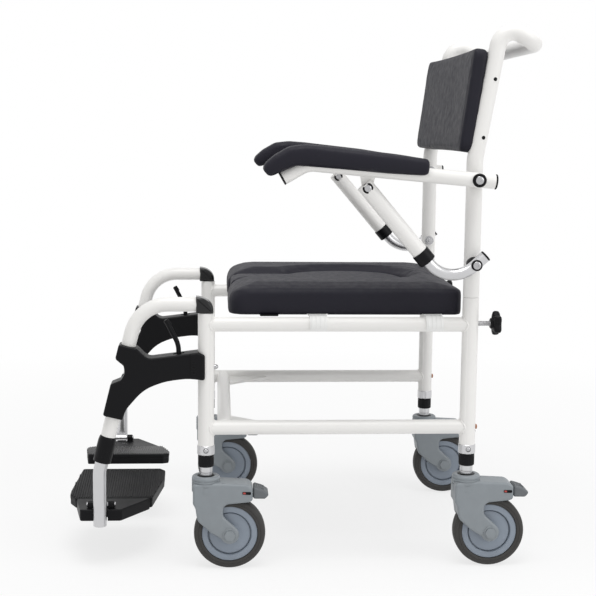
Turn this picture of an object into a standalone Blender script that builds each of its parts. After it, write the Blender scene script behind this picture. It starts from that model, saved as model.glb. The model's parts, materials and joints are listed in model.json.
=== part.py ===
"""Wheeled shower commode chair: side frames on braked casters, a padded horseshoe seat with a lift-out
insert, a back frame with a push bar, flip-up armrests on telescoping struts and swing-away footrests.

Metres, +Z up. The front faces -X, the sitter's left is -Y, the floor is z = 0 and the origin is under
the middle of the chair. Left pieces are modelled in place and mirrored for the right.
"""

import math

import bmesh
import bpy
from mathutils import Matrix, Vector

# Fits
GAP = 0.0003             # between pieces that touch
RUN = 0.0004             # radial play of a shaft that turns in its bore
TUBE_SIDES = 12          # facets round the frame tubes
ROD_SIDES = 8            # facets round rods, pins and their holes
BEND_STEP = math.radians(20)

# Side frames
HALF_TRACK = 0.230       # post centre to the chair's mid-plane
FRONT_POST_X = -0.1645
REAR_POST_X = 0.293
POST_RADIUS = 0.014
POST_BORE = 0.0124
RAIL_RADIUS = 0.0125
POST_BOTTOM_Z = 0.202
FRONT_POST_TOP_Z = 0.450
REAR_POST_TOP_Z = 0.478
SEAT_RAIL_Z = 0.430
LOWER_RAIL_Z = 0.249
CROSS_TUBE_SETBACK = 0.032
GUSSET_ALONG_RAIL = 0.100
GUSSET_ALONG_TUBE = 0.085
GUSSET_THICKNESS = 0.004

# Telescoping legs with spring buttons
LEG_RADIUS = 0.0112
LEG_WALL = 0.0022
LEG_TOP_Z = 0.322
COLLAR_HEIGHT = 0.021
COLLAR_RADIUS = 0.0138
BUTTON_Z = 0.211
BUTTON_RADIUS = 0.0042
BUTTON_PROUD = 0.0024    # how far it stands out of the post
LEG_HOLE_PITCH = 0.025
LEG_HOLES = 3

# Casters
WHEEL_SIDES = 20
WHEEL_RADIUS = 0.0625
WHEEL_TOP_Z = 2 * WHEEL_RADIUS
TYRE_WIDTH = 0.030
TYRE_THICKNESS = 0.0135
TYRE_SHOULDER = 0.0050
TRAIL = 0.0415
AXLE_RADIUS = 0.0045
AXLE_HEAD_RADIUS = 0.0100
AXLE_HEAD_HEIGHT = 0.005
FORK_HALF_WIDTH = 0.0235
FORK_CHEEK = 0.0055
FORK_LOBE = 0.0165       # round end of each cheek about the axle
FORK_RISE = 0.0400       # fork's top above the wheel's
FORK_TOP_Z = WHEEL_TOP_Z + FORK_RISE
FORK_HEAD_RADIUS = 0.0245
FORK_HEAD_HEIGHT = 0.030
WHEEL_ROOM = 0.0030      # fork to tyre
STEM_RADIUS = 0.0055
STEM_LENGTH = 0.033
HUB_RADIUS = 0.0155
HUB_HALF_WIDTH = 0.0155
WEB_HALF_WIDTH = 0.0060
RIM_LIP = 0.0115
RIM_INSET = 0.0020
HOUSING_END_X = 0.081    # rear end of the brake housing, from the stem
LOBE_ARC = (205, 405)    # where the round end of a cheek starts and stops, in degrees
# Corners of the fork's side view from the stem and the wheel's top: down its front, and up to the housing
FORK_FRONT = ((-0.0225, 0.0280), (-0.0225, -0.0070), (-0.0180, -0.0130), (-0.0150, -0.0370), (0.0080, -0.0580))
FORK_REAR = ((0.0300, -0.0295), (0.0300, -0.0170), (0.0360, -0.0085))
# The same from the housing's rear end
HOUSING_END = ((-0.0070, -0.0045), (0.0, -0.0015), (0.0, 0.0210), (-0.0085, 0.0275))
HOUSING_TOP = (0.0245, 0.0300)
PEDAL_PIVOT_X = 0.0735
PEDAL_PIVOT_RISE = 0.0020
PEDAL_PIVOT_Z = WHEEL_TOP_Z + PEDAL_PIVOT_RISE
PEDAL_TIP_X = 0.1105
PEDAL_HALF_WIDTH = 0.0190
PEDAL_ROOM = 0.0010      # pedal's root behind the housing
PEDAL_ROOT = (-0.0010, 0.0205)
# Corners of the pedal's side view from its tip and its pivot
PEDAL_EDGE = ((-0.0080, -0.0015), (-0.0020, 0.0015), (0.0, 0.0060), (-0.0040, 0.0120), (-0.0140, 0.0175))
PEDAL_PIN_RADIUS = 0.0020
TONGUE_HALF_WIDTH = 0.0080
TONGUE_RADIUS = 0.0045
SLOT_ROOM = 0.0035       # past a lever's hub at the ends of its slot

# Back frame with its push bar
SPIGOT_LENGTH = 0.088
RAKE_START_Z = 0.715
RAKE = math.radians(10)
RAKE_BEND = 0.060
BAR_CORNER_Z = 0.941     # where the raked tube and the handle's side run would meet
BAR_REAR_X = 0.395
BAR_REAR_Z = 0.911
BAR_TOP_BEND = 0.026
BAR_SIDE_BEND = 0.030
KNOB_Z = 0.432
KNOB_STEM_RADIUS = 0.0045
KNOB_STEM_LENGTH = 0.021
KNOB_THICKNESS = 0.018
KNOB_RADIUS = 0.0185
KNOB_LOBE = 0.0035
KNOB_LOBES = 5
BOSS_RADIUS = 0.0050     # carries the back pad between the uprights
BOSS_HEIGHTS = (0.752, 0.850)
BOSS_FORWARD = 0.007

# Back pad
BACK_SIDE_GAP = 0.0080   # pad to upright
BACK_HALF_WIDTH = HALF_TRACK - POST_RADIUS - BACK_SIDE_GAP
BACK_HEIGHT = 0.176
BACK_THICKNESS = 0.034
BACK_BOTTOM_X = 0.2690
BACK_BOTTOM_Z = 0.7280
BACK_LEAN = math.radians(7.5)
BACK_CORNER = 0.020
PAD_CORNER_MIN = 0.004   # least corner of a padded form's crown
PAD_DRAW_IN = 0.003      # how far a pad's long sides pull in at their middle
# Inset and height of each level of the padded forms, from the underside up
BACK_LEVELS = ((0.0040, 0.0), (0.0, 0.0060), (0.0010, 0.0130), (0.0, 0.0200),
               (0.0035, 0.0250), (0.0105, 0.0290), (0.0260, 0.0325), (0.0480, 0.0340))

# Armrests
ARM_OUTBOARD = 0.032
ARM_Y = HALF_TRACK + ARM_OUTBOARD    # plane of the arm rail and its strut
ARM_PIVOT_Z = 0.681
ARM_SLOPE = math.radians(5.0)
ARM_RAIL_RADIUS = 0.0125
ARM_TAIL = 0.032         # rail behind its pivot
ARM_REACH = 0.290        # rail from the pivot to its bend
ARM_DROP = math.radians(30)
ARM_NOSE = 0.050
ARM_BEND = 0.040
ARM_PIN_RADIUS = 0.0040
PIN_HEAD_RADIUS = 0.0080
PIN_HEAD_HEIGHT = 0.0040
SPACER_RADIUS = 0.0090
NUT_RADIUS = 0.0075
NUT_HEIGHT = 0.0050
PAD_ASIDE = 0.0085       # pad's middle outside the rail's
PAD_RING = 16
PAD_SQUARE = 0.55        # below 1 squares the pad's section
# Along the rail from its bend, above its axis, nose-down pitch in degrees, half height and half width
PAD_STATIONS = (
    (-0.2020, 0.0140, 0, 0.0080, 0.0180),
    (-0.1940, 0.0152, 0, 0.0142, 0.0215),
    (-0.1680, 0.0155, 0, 0.0175, 0.0230),
    (-0.0550, 0.0165, 0, 0.0190, 0.0230),
    (0.0030, 0.0168, 2, 0.0202, 0.0230),
    (0.0270, 0.0120, 22, 0.0190, 0.0230),
    (0.0480, -0.0015, 40, 0.0160, 0.0215),
    (0.0620, -0.0135, 46, 0.0095, 0.0175),
)
TAB_REACH = 0.186        # strut pivot, along the rail from the arm pivot
TAB_DROP = 0.031         # and below the rail's axis
TAB_THICKNESS = 0.005
TAB_RADIUS = 0.009
TAB_PIN_PROUD = 0.002

# Telescoping struts
STRUT_PIVOT_Z = 0.5375
STRUT_ANGLE = math.radians(49.5)
STRUT_OUTER_RADIUS = 0.0140
STRUT_BORE = 0.0130
STRUT_OUTER_LENGTH = 0.163
STRUT_HEAD = 0.008       # outer tube above its pivot
STRUT_COLLAR_RADIUS = 0.0155
STRUT_COLLAR_LENGTH = 0.022
STRUT_INNER_RADIUS = 0.0100
STRUT_INNER_TOP = 0.020  # top of the inner tube from the upper pivot
STRUT_INNER_BEND = 0.053
STRUT_TAIL_ANGLE = math.radians(42.7)
STRUT_INNER_TAIL = 0.024

# Swing-away footrests
HANGER_RADIUS = 0.0125
HANGER_Z = 0.4645
HANGER_REACH = 0.1149    # post axis to where the hanger's two straight runs would meet
HANGER_RAKE = math.radians(13.9)
HANGER_BEND = 0.064
HANGER_END_Z = 0.371
ELBOW_FRONT = 0.0172
ELBOW_REAR = 0.0125
ELBOW_TOP_Z = 0.4785
ELBOW_HALF_WIDTH = 0.0150
ELBOW_SOCKET = 0.006
ELBOW_SPIGOT = 0.045
ELBOW_RIM = 0.004
BRACKET_HALF_WIDTH = 0.0190
BRACKET_EDGE = 0.0030
# Corners of the bracket's side view: from the hanger's axis, from the post and from the foot tube's axis
BRACKET_SOCKET = ((-0.0165, 0.3740), (-0.0165, 0.3977), (0.0160, 0.3905))
BRACKET_ARM = ((-0.0995, 0.3730), (-0.0138, 0.3838), (-0.0018, 0.3785), (-0.0018, 0.3348),
               (-0.0310, 0.3384), (-0.0704, 0.3332))
BRACKET_KNEE = ((0.0410, 0.3193), (0.0190, 0.2840), (0.0180, 0.2660), (-0.0175, 0.2740),
                (-0.0175, 0.3130), (-0.0010, 0.3390), (-0.0020, 0.3560))
HANGER_LEVER_X = -0.047  # from the post axis
HANGER_LEVER_Z = 0.370
HANGER_LEVER_RADIUS = 0.0042
HANGER_LEVER_HUB = 0.0062
HANGER_LEVER_PIN = 0.0022
HANGER_LEVER_SLOT = 0.0110
LEVER_KNEE = 0.025
LEVER_LEAN = 0.0215
LEVER_TOP_Z = 0.437
LEVER_BEND = 0.045
FOOT_TUBE_RADIUS = 0.0115
FOOT_TUBE_BOTTOM_Z = 0.075
FOOT_SET_BACK = 0.0035   # foot tube's axis behind the hanger's
FOOT_UPPER_RADIUS = 0.0128
FOOT_TOP_Z = 0.309
KNUCKLE_RADIUS = 0.0155
KNUCKLE_TOP_Z = 0.238
KNUCKLE_BOTTOM_Z = 0.190
FOOT_BEND_Z = 0.172      # where the raked and the upright run would meet
FOOT_BEND = 0.050
FOOT_NOTCH = 0.018       # right foot tube is set this much shorter than the left
PLATE_HINGE_IN = 0.0235  # plate hinge, inboard of the foot tube's axis
PLATE_HINGE_Z = 0.1065
PLATE_PIN_RADIUS = 0.0030
PLATE_EAR = 0.0110       # width of each hinge ear
NOTCH_PLAY = 0.0010      # plate's notch round the tube
LUG_INSET = 0.0020
LUG_RADIUS = 0.0060
PLATE_INNER_Y = 0.020    # plate's inner edge from the chair's mid-plane
PLATE_DECK_IN = 0.075    # deck's outer edge inboard of the foot tube's axis
PLATE_EDGE_IN = 0.0075   # and the block's
PLATE_BOUNDARY_Y = HALF_TRACK - PLATE_DECK_IN
PLATE_OUTER_Y = HALF_TRACK - PLATE_EDGE_IN
PLATE_INNER_Z = 0.120
PLATE_OUTER_Z = 0.1015
PLATE_THICKNESS = 0.009
PLATE_BLOCK_DEPTH = 0.021
HEEL_CUT = 0.010         # corner of the deck by the other plate
HEEL_RUN = 0.045         # straight stretch of the deck's rear edge
HEEL_TAPER = 0.0185
TOE_TAPER = 0.012
TOE_RUN = 0.018
EDGE_STEP = 0.0010       # block inside the deck's edge
PLATE_FRONT = 0.0620     # deck ahead of and behind the foot tube
PLATE_REAR = 0.1050
BLOCK_HALF = 0.0355

# Seat
SEAT_FRONT_X = -0.127
SEAT_REAR_X = 0.277
SEAT_IN = 0.0180         # seat's edge inboard of the rail's axis
SEAT_HALF_WIDTH = HALF_TRACK - SEAT_IN
SEAT_CORNER = 0.045
SEAT_RISE = 0.0235       # pad's underside above the rail's axis
SEAT_BOTTOM_Z = SEAT_RAIL_Z + SEAT_RISE
SEAT_MOUTH = 0.015       # rounding where the channel meets the front edge
SEAT_LEVELS = ((0.0050, 0.0), (0.0, 0.0060), (0.0015, 0.0140), (0.0, 0.0240),
               (0.0030, 0.0300), (0.0100, 0.0355), (0.0220, 0.0415), (0.0370, 0.0460))
HOLE_FRONT_HALF_WIDTH = 0.050
HOLE_HALF_WIDTH = 0.102
HOLE_FRONT_X = -0.035    # ends of the oval
HOLE_REAR_X = 0.215
HOLE_STEPS = 17          # odd, so that no corner falls on the mid-plane
INSERT_SET_BACK = 0.006
INSERT_LEVELS = ((0.0040, 0.0), (0.0, 0.0060), (0.0010, 0.0150), (0.0, 0.0250),
                 (0.0030, 0.0300), (0.0100, 0.0340), (0.0230, 0.0360))
INSERT_CLEAR = 0.0012
BASE_THICKNESS = 0.0075
BASE_INSET = 0.016
LEDGE = 0.012            # base that shows inside the hole and carries the insert
CLIP_POSITIONS = (0.028, 0.229)
CLIP_LENGTH = 0.030
CLIP_WALL = 0.0028
CLIP_DROP = 0.0110       # clip legs below the rail's axis
BUMPER_X = -0.056
BUMPER_LENGTH = 0.032
BUMPER_INSET = 0.0070

# Finishes: base colour, roughness, metallic
FINISHES = {
    "powder_coat": ((0.90, 0.89, 0.87), 0.38, 0.0),
    "satin_aluminium": ((0.72, 0.72, 0.73), 0.32, 1.0),
    "black_plastic": ((0.022, 0.022, 0.024), 0.45, 0.0),
    "grey_plastic": ((0.26, 0.30, 0.34), 0.50, 0.0),
    "pedal_plastic": ((0.15, 0.16, 0.17), 0.55, 0.0),
    "tyre_rubber": ((0.060, 0.058, 0.058), 0.75, 0.0),
    "charcoal_foam": ((0.050, 0.049, 0.056), 0.62, 0.0),
    "zinc_steel": ((0.62, 0.62, 0.63), 0.30, 1.0),
    "white_plastic": ((0.86, 0.86, 0.85), 0.42, 0.0),
}


def clear_scene():
    for item in list(bpy.data.objects):
        bpy.data.objects.remove(item, do_unlink=True)


def collection(name):
    made = bpy.data.collections.new(name)
    bpy.context.scene.collection.children.link(made)
    return made


def material(finish):
    made = bpy.data.materials.get(finish)
    if made:
        return made
    colour, roughness, metallic = FINISHES[finish]
    made = bpy.data.materials.new(finish)
    made.use_nodes = True
    shader = made.node_tree.nodes["Principled BSDF"]
    shader.inputs["Base Color"].default_value = (*colour, 1.0)
    shader.inputs["Roughness"].default_value = roughness
    shader.inputs["Metallic"].default_value = metallic
    return made


def link(name, data):
    made = bpy.data.objects.new(name, data)
    bpy.context.scene.collection.objects.link(made)
    return made


def from_bmesh(bm):
    """Object of the mesh, with its faces turned outwards."""
    bmesh.ops.recalc_face_normals(bm, faces=bm.faces)
    if bm.calc_volume(signed=True) < 0.0:
        bmesh.ops.reverse_faces(bm, faces=bm.faces)
    mesh = bpy.data.meshes.new("solid")
    bm.to_mesh(mesh)
    bm.free()
    return link("solid", mesh)


def evaluated_mesh(item):
    bpy.context.view_layer.update()
    depsgraph = bpy.context.evaluated_depsgraph_get()
    return bpy.data.meshes.new_from_object(item.evaluated_get(depsgraph))


def as_mesh(item, place=Matrix()):
    """Replace a curve or a profile by its welded mesh, moved by place."""
    bm = bmesh.new()
    bm.from_mesh(evaluated_mesh(item))
    bpy.data.objects.remove(item)
    bmesh.ops.remove_doubles(bm, verts=bm.verts, dist=1e-6)
    bm.transform(place)
    return from_bmesh(bm)


def boolean(base, tools, operation):
    for tool in tools:
        step = base.modifiers.new("boolean", "BOOLEAN")
        step.operation = operation
        step.solver = "EXACT"
        step.object = tool
        base.data = evaluated_mesh(base)
        base.modifiers.clear()
        bpy.data.objects.remove(tool)
    return base


def unite(base, *tools):
    return boolean(base, tools, "UNION")


def cut(base, *tools):
    return boolean(base, tools, "DIFFERENCE")


def bore(shaft_radius, play, sides=ROD_SIDES):
    """Radius of a faceted hole whose flats clear a shaft by play."""
    return (shaft_radius + play) / math.cos(math.pi / sides)


def rod(start, end, radius, sides=ROD_SIDES, end_radius=None):
    start, end = Vector(start), Vector(end)
    axis = end - start
    turn = axis.to_track_quat("Z", "Y").to_matrix().to_4x4()
    bm = bmesh.new()
    bmesh.ops.create_cone(
        bm, cap_ends=True, segments=sides, radius1=radius,
        radius2=radius if end_radius is None else end_radius,
        depth=axis.length, matrix=Matrix.Translation((start + end) / 2) @ turn)
    return from_bmesh(bm)


def box(low, high):
    low, high = Vector(low), Vector(high)
    bm = bmesh.new()
    size = Matrix.Diagonal((*(high - low), 1.0))
    bmesh.ops.create_cube(bm, size=1.0, matrix=Matrix.Translation((low + high) / 2) @ size)
    return from_bmesh(bm)


def rounded(points, radii):
    """The open polyline with each inner corner turned into an arc of its radius."""
    path = [Vector(points[0])]
    for before, corner, after, radius in zip(points, points[1:], points[2:], radii):
        corner = Vector(corner)
        back = (Vector(before) - corner).normalized()
        on = (Vector(after) - corner).normalized()
        turn = math.pi - back.angle(on)
        reach = radius * math.tan(turn / 2)
        centre = corner + (back + on).normalized() * radius / math.cos(turn / 2)
        first = corner + back * reach - centre
        axis = back.cross(on)
        steps = max(2, math.ceil(turn / BEND_STEP))
        for index in range(steps + 1):
            path.append(centre + Matrix.Rotation(-turn * index / steps, 3, axis) @ first)
    path.append(Vector(points[-1]))
    return path


def swept(path, radius, sides=TUBE_SIDES):
    """Round bar along a polyline."""
    curve = bpy.data.curves.new("path", "CURVE")
    curve.dimensions = "3D"
    curve.bevel_depth = radius
    curve.bevel_resolution = (sides - 4) // 2
    curve.use_fill_caps = True
    spline = curve.splines.new("POLY")
    spline.points.add(len(path) - 1)
    for point, place in zip(spline.points, path):
        point.co = (*place, 1.0)
    return as_mesh(link("path", curve))


def sheet(outline, thickness, place):
    """Flat outline of the given thickness, drawn in XY about its middle plane and moved by place."""
    curve = bpy.data.curves.new("outline", "CURVE")
    curve.dimensions = "2D"
    curve.fill_mode = "BOTH"
    curve.extrude = thickness / 2
    spline = curve.splines.new("POLY")
    spline.points.add(len(outline) - 1)
    spline.use_cyclic_u = True
    for point, (across, along) in zip(spline.points, outline):
        point.co = (across, along, 0.0, 1.0)
    return as_mesh(link("outline", curve), place)


def upright(y):
    """Places an XY outline in the XZ plane at y."""
    return Matrix.Translation((0.0, y, 0.0)) @ Matrix.Rotation(math.radians(90), 4, "X")


def arc(centre, radius, start, end, steps):
    """Points on an arc, angles in degrees."""
    points = []
    for index in range(steps + 1):
        angle = math.radians(start + (end - start) * index / steps)
        points.append((centre[0] + radius * math.cos(angle), centre[1] + radius * math.sin(angle)))
    return points


def turned(profile, sides, place):
    """Solid of revolution about Z of a closed (radius, height) profile, a facet facing -Y."""
    bm = bmesh.new()
    points = [bm.verts.new((radius, 0.0, height)) for radius, height in profile]
    for first, second in zip(points, points[1:] + points[:1]):
        bm.edges.new((first, second))
    mesh = bpy.data.meshes.new("profile")
    bm.to_mesh(mesh)
    bm.free()
    item = link("profile", mesh)
    screw = item.modifiers.new("screw", "SCREW")
    screw.steps = sides
    screw.render_steps = sides
    screw.use_merge_vertices = True
    screw.merge_threshold = 1e-5
    half_facet = Matrix.Rotation(math.pi / sides + math.pi / 2, 4, "Z")
    return as_mesh(item, place @ half_facet)


def loft(rings):
    """Skin over rings of as many points each, closed by the first and the last."""
    bm = bmesh.new()
    loops = [[bm.verts.new(point) for point in ring] for ring in rings]
    for lower, upper in zip(loops, loops[1:]):
        count = len(lower)
        for index in range(count):
            after = (index + 1) % count
            bm.faces.new((lower[index], lower[after], upper[after], upper[index]))
    bm.faces.new(loops[0])
    bm.faces.new(loops[-1])
    return from_bmesh(bm)


def cushion(outline_at, levels, place):
    """Padded form: the outline at each level's inset, with a drawn-in foot, a waist and a crown."""
    return loft([[place @ Vector((x, y, height)) for x, y in outline_at(inset)] for inset, height in levels])


def mirrored(item):
    """The same piece on the chair's other side."""
    bm = bmesh.new()
    bm.from_mesh(item.data)
    bm.transform(Matrix.Diagonal((1.0, -1.0, 1.0, 1.0)))
    bmesh.ops.reverse_faces(bm, faces=bm.faces)
    mesh = bpy.data.meshes.new("solid")
    bm.to_mesh(mesh)
    bm.free()
    return link("solid", mesh)


def tongue(base, tip, radius, steps=6):
    """Outline of a flat tongue from base to a rounded end about tip."""
    base, tip = Vector(base), Vector(tip)
    along = (tip - base).normalized()
    side = Vector((-along.y, along.x))
    start = math.atan2(side.y, side.x)
    points = [base + side * radius]
    for index in range(steps + 1):
        angle = start - math.pi * index / steps
        points.append(tip + Vector((math.cos(angle), math.sin(angle))) * radius)
    points.append(base - side * radius)
    return points


def rake_x(z):
    """Centre of the raked upright at height z."""
    return REAR_POST_X + max(0.0, z - RAKE_START_Z) * math.tan(RAKE)


def side_frame():
    y = -HALF_TRACK
    posts = ((FRONT_POST_X, FRONT_POST_TOP_Z), (REAR_POST_X, REAR_POST_TOP_Z))
    tubes = [rod((x, y, POST_BOTTOM_Z), (x, y, top), POST_RADIUS, TUBE_SIDES) for x, top in posts]
    for z in (SEAT_RAIL_Z, LOWER_RAIL_Z):
        tubes.append(rod((FRONT_POST_X, y, z), (REAR_POST_X, y, z), RAIL_RADIUS, TUBE_SIDES))
    frame = unite(tubes[0], tubes[2], tubes[1], tubes[3])
    past = POST_RADIUS
    for x, top in posts:
        cut(frame, rod((x, y, POST_BOTTOM_Z - past), (x, y, top + past), POST_BORE, TUBE_SIDES))
        button_hole = rod((x, y, BUTTON_Z), (x, y - POST_RADIUS - past, BUTTON_Z), bore(BUTTON_RADIUS, RUN))
        cut(frame, button_hole)
    knob_hole_end = (REAR_POST_X + POST_RADIUS + past, y, KNOB_Z)
    return cut(frame, rod((REAR_POST_X, y, KNOB_Z), knob_hole_end, bore(KNOB_STEM_RADIUS, RUN)))


def front_cross_tube():
    x = FRONT_POST_X + CROSS_TUBE_SETBACK
    half = HALF_TRACK - RAIL_RADIUS - GAP
    tube = rod((x, -half, LOWER_RAIL_Z), (x, half, LOWER_RAIL_Z), RAIL_RADIUS, TUBE_SIDES)
    for side in (-1, 1):
        corner = [(x, side * half), (x + GUSSET_ALONG_RAIL, side * half),
                  (x, side * (half - GUSSET_ALONG_TUBE))]
        unite(tube, sheet(corner, GUSSET_THICKNESS, Matrix.Translation((0.0, 0.0, LOWER_RAIL_Z))))
    return tube


def leg_tube():
    bottom = FORK_TOP_Z + GAP
    stem_end = FORK_TOP_Z + STEM_LENGTH
    past = LEG_RADIUS
    tube = rod((0, 0, bottom), (0, 0, LEG_TOP_Z), LEG_RADIUS, TUBE_SIDES)
    cut(tube, rod((0, 0, bottom - past), (0, 0, stem_end + 2 * LEG_WALL), bore(STEM_RADIUS, RUN)))
    cut(tube, rod((0, 0, stem_end + LEG_WALL), (0, 0, LEG_TOP_Z + past), LEG_RADIUS - LEG_WALL, TUBE_SIDES))
    for index in range(LEG_HOLES):
        z = BUTTON_Z + index * LEG_HOLE_PITCH
        cut(tube, rod((0, 0, z), (0, -LEG_RADIUS - past, z), bore(BUTTON_RADIUS, RUN)))
    return tube


def leg_collar():
    top = POST_BOTTOM_Z - GAP
    bottom = top - COLLAR_HEIGHT
    inner = bore(LEG_RADIUS, GAP, TUBE_SIDES)
    edge = (COLLAR_RADIUS - inner) / 2
    profile = [(inner, top), (COLLAR_RADIUS, top), (COLLAR_RADIUS, bottom + edge),
               (COLLAR_RADIUS - edge, bottom), (inner, bottom)]
    return turned(profile, TUBE_SIDES, Matrix())


def height_button():
    return rod((0, -LEG_RADIUS - GAP, 0), (0, -POST_RADIUS - BUTTON_PROUD, 0), BUTTON_RADIUS)


def caster_fork():
    """Head, two cheeks and brake housing from one side outline, with the wheel's room cut out."""
    axle = (TRAIL, WHEEL_RADIUS)
    above = [*FORK_REAR, *((HOUSING_END_X + x, z) for x, z in HOUSING_END), HOUSING_TOP]
    outline = [(x, WHEEL_TOP_Z + z) for x, z in FORK_FRONT]
    outline += arc(axle, FORK_LOBE, *LOBE_ARC, 8)
    outline += [(x, WHEEL_TOP_Z + z) for x, z in above]
    fork = sheet(outline, 2 * FORK_HALF_WIDTH, upright(0.0))
    head_low = FORK_TOP_Z - FORK_HEAD_HEIGHT
    unite(fork, rod((0, 0, head_low), (0, 0, FORK_TOP_Z), FORK_HEAD_RADIUS, TUBE_SIDES))
    room = FORK_HALF_WIDTH - FORK_CHEEK
    cut(fork, rod((TRAIL, -room, WHEEL_RADIUS), (TRAIL, room, WHEEL_RADIUS),
                  bore(WHEEL_RADIUS, WHEEL_ROOM, WHEEL_SIDES), WHEEL_SIDES))
    slot_half = TONGUE_HALF_WIDTH + RUN
    slot_low = PEDAL_PIVOT_Z - TONGUE_RADIUS - SLOT_ROOM
    slot_high = PEDAL_PIVOT_Z + TONGUE_RADIUS + 2 * RUN
    cut(fork, box((PEDAL_PIVOT_X - TONGUE_RADIUS - 2 * RUN, -slot_half, slot_low),
                  (HOUSING_END_X + SLOT_ROOM, slot_half, slot_high)))
    pin_half = slot_half + SLOT_ROOM
    unite(fork, rod((PEDAL_PIVOT_X, -pin_half, PEDAL_PIVOT_Z), (PEDAL_PIVOT_X, pin_half, PEDAL_PIVOT_Z),
                    PEDAL_PIN_RADIUS))
    axle_ends = [(TRAIL, side * FORK_HALF_WIDTH, WHEEL_RADIUS) for side in (-1, 1)]
    unite(fork, rod(*axle_ends, AXLE_RADIUS))
    for side in (-1, 1):
        start = (TRAIL, side * (FORK_HALF_WIDTH - FORK_CHEEK / 2), WHEEL_RADIUS)
        end = (TRAIL, side * (FORK_HALF_WIDTH + AXLE_HEAD_HEIGHT), WHEEL_RADIUS)
        unite(fork, rod(start, end, AXLE_HEAD_RADIUS, 6))
    return unite(fork, rod((0, 0, head_low), (0, 0, FORK_TOP_Z + STEM_LENGTH), STEM_RADIUS))


def wheel_rim():
    inner = bore(AXLE_RADIUS, RUN, WHEEL_SIDES)
    outer = WHEEL_RADIUS - TYRE_THICKNESS - GAP
    half = TYRE_WIDTH / 2 - RIM_INSET
    lip = outer - RIM_LIP
    rise = half - WEB_HALF_WIDTH
    edge = [(inner, HUB_HALF_WIDTH), (HUB_RADIUS, HUB_HALF_WIDTH), (HUB_RADIUS + rise, WEB_HALF_WIDTH),
            (lip - rise, WEB_HALF_WIDTH), (lip, half), (outer, half)]
    profile = edge + [(radius, -height) for radius, height in reversed(edge)]
    return turned(profile, WHEEL_SIDES, Matrix.Rotation(math.radians(90), 4, "X"))


def tyre():
    inner = WHEEL_RADIUS - TYRE_THICKNESS
    outer = bore(WHEEL_RADIUS, 0.0, WHEEL_SIDES)
    half = TYRE_WIDTH / 2
    edge = [(inner, half), (outer - TYRE_SHOULDER, half), (outer, half - TYRE_SHOULDER)]
    profile = edge + [(radius, -height) for radius, height in reversed(edge)]
    return turned(profile, WHEEL_SIDES, Matrix.Rotation(math.radians(90), 4, "X"))


def brake_pedal():
    """Drawn from its pivot."""
    root = HOUSING_END_X - PEDAL_PIVOT_X + PEDAL_ROOM
    tip = PEDAL_TIP_X - PEDAL_PIVOT_X
    low, high = PEDAL_ROOT
    outline = [(root, low), *((tip + x, z) for x, z in PEDAL_EDGE), (root, high)]
    pedal = sheet(outline, 2 * PEDAL_HALF_WIDTH, upright(0.0))
    bar = TONGUE_RADIUS * 2 / 3
    unite(pedal, box((0, -TONGUE_HALF_WIDTH, 0), (root + bar, TONGUE_HALF_WIDTH, bar)))
    unite(pedal, rod((0, -TONGUE_HALF_WIDTH, 0), (0, TONGUE_HALF_WIDTH, 0), TONGUE_RADIUS))
    past = PEDAL_HALF_WIDTH
    return cut(pedal, rod((0, -past, 0), (0, past, 0), bore(PEDAL_PIN_RADIUS, RUN)))


def pivot_pin(side, x, z, tube_radius):
    """Bolt through the upright that carries a tube of the arm's plane, with its spacer, head and nut."""
    inner = ARM_Y - tube_radius - GAP
    outer = ARM_Y + tube_radius + GAP
    nut = HALF_TRACK - POST_RADIUS - NUT_HEIGHT
    middle = (x, side * HALF_TRACK, z)
    pin = rod(middle, (x, side * inner, z), SPACER_RADIUS, TUBE_SIDES)
    unite(pin, rod(middle, (x, side * (outer + PIN_HEAD_HEIGHT / 2), z), ARM_PIN_RADIUS))
    unite(pin, rod((x, side * outer, z), (x, side * (outer + PIN_HEAD_HEIGHT), z), PIN_HEAD_RADIUS))
    return unite(pin, rod(middle, (x, side * nut, z), NUT_RADIUS, 6))


def back_frame():
    """One bent tube, up one side, back round the push bar and down the other, with a plug at each end."""
    foot = REAR_POST_TOP_Z + GAP
    side_run = [(REAR_POST_X, foot), (REAR_POST_X, RAKE_START_Z), (rake_x(BAR_CORNER_Z), BAR_CORNER_Z),
                (BAR_REAR_X, BAR_REAR_Z)]
    route = [(x, -HALF_TRACK, z) for x, z in side_run]
    route += [(x, HALF_TRACK, z) for x, z in reversed(side_run)]
    bends = [RAKE_BEND, BAR_TOP_BEND, BAR_SIDE_BEND]
    frame = swept(rounded(route, bends + bends[::-1]), POST_RADIUS)
    plug = POST_BORE * math.cos(math.pi / TUBE_SIDES) - GAP
    for side in (-1, 1):
        y = side * HALF_TRACK
        plug_end = (REAR_POST_X, y, foot - SPIGOT_LENGTH)
        unite(frame, rod(plug_end, (REAR_POST_X, y, foot + POST_RADIUS), plug, TUBE_SIDES))
        for z in BOSS_HEIGHTS:
            x = rake_x(z) - BOSS_FORWARD
            unite(frame, rod((x, y, z), (x, side * (BACK_HALF_WIDTH + GAP), z), BOSS_RADIUS))
        unite(frame, pivot_pin(side, REAR_POST_X, ARM_PIVOT_Z, ARM_RAIL_RADIUS))
        unite(frame, pivot_pin(side, REAR_POST_X, STRUT_PIVOT_Z, STRUT_INNER_RADIUS))
    return frame


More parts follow.
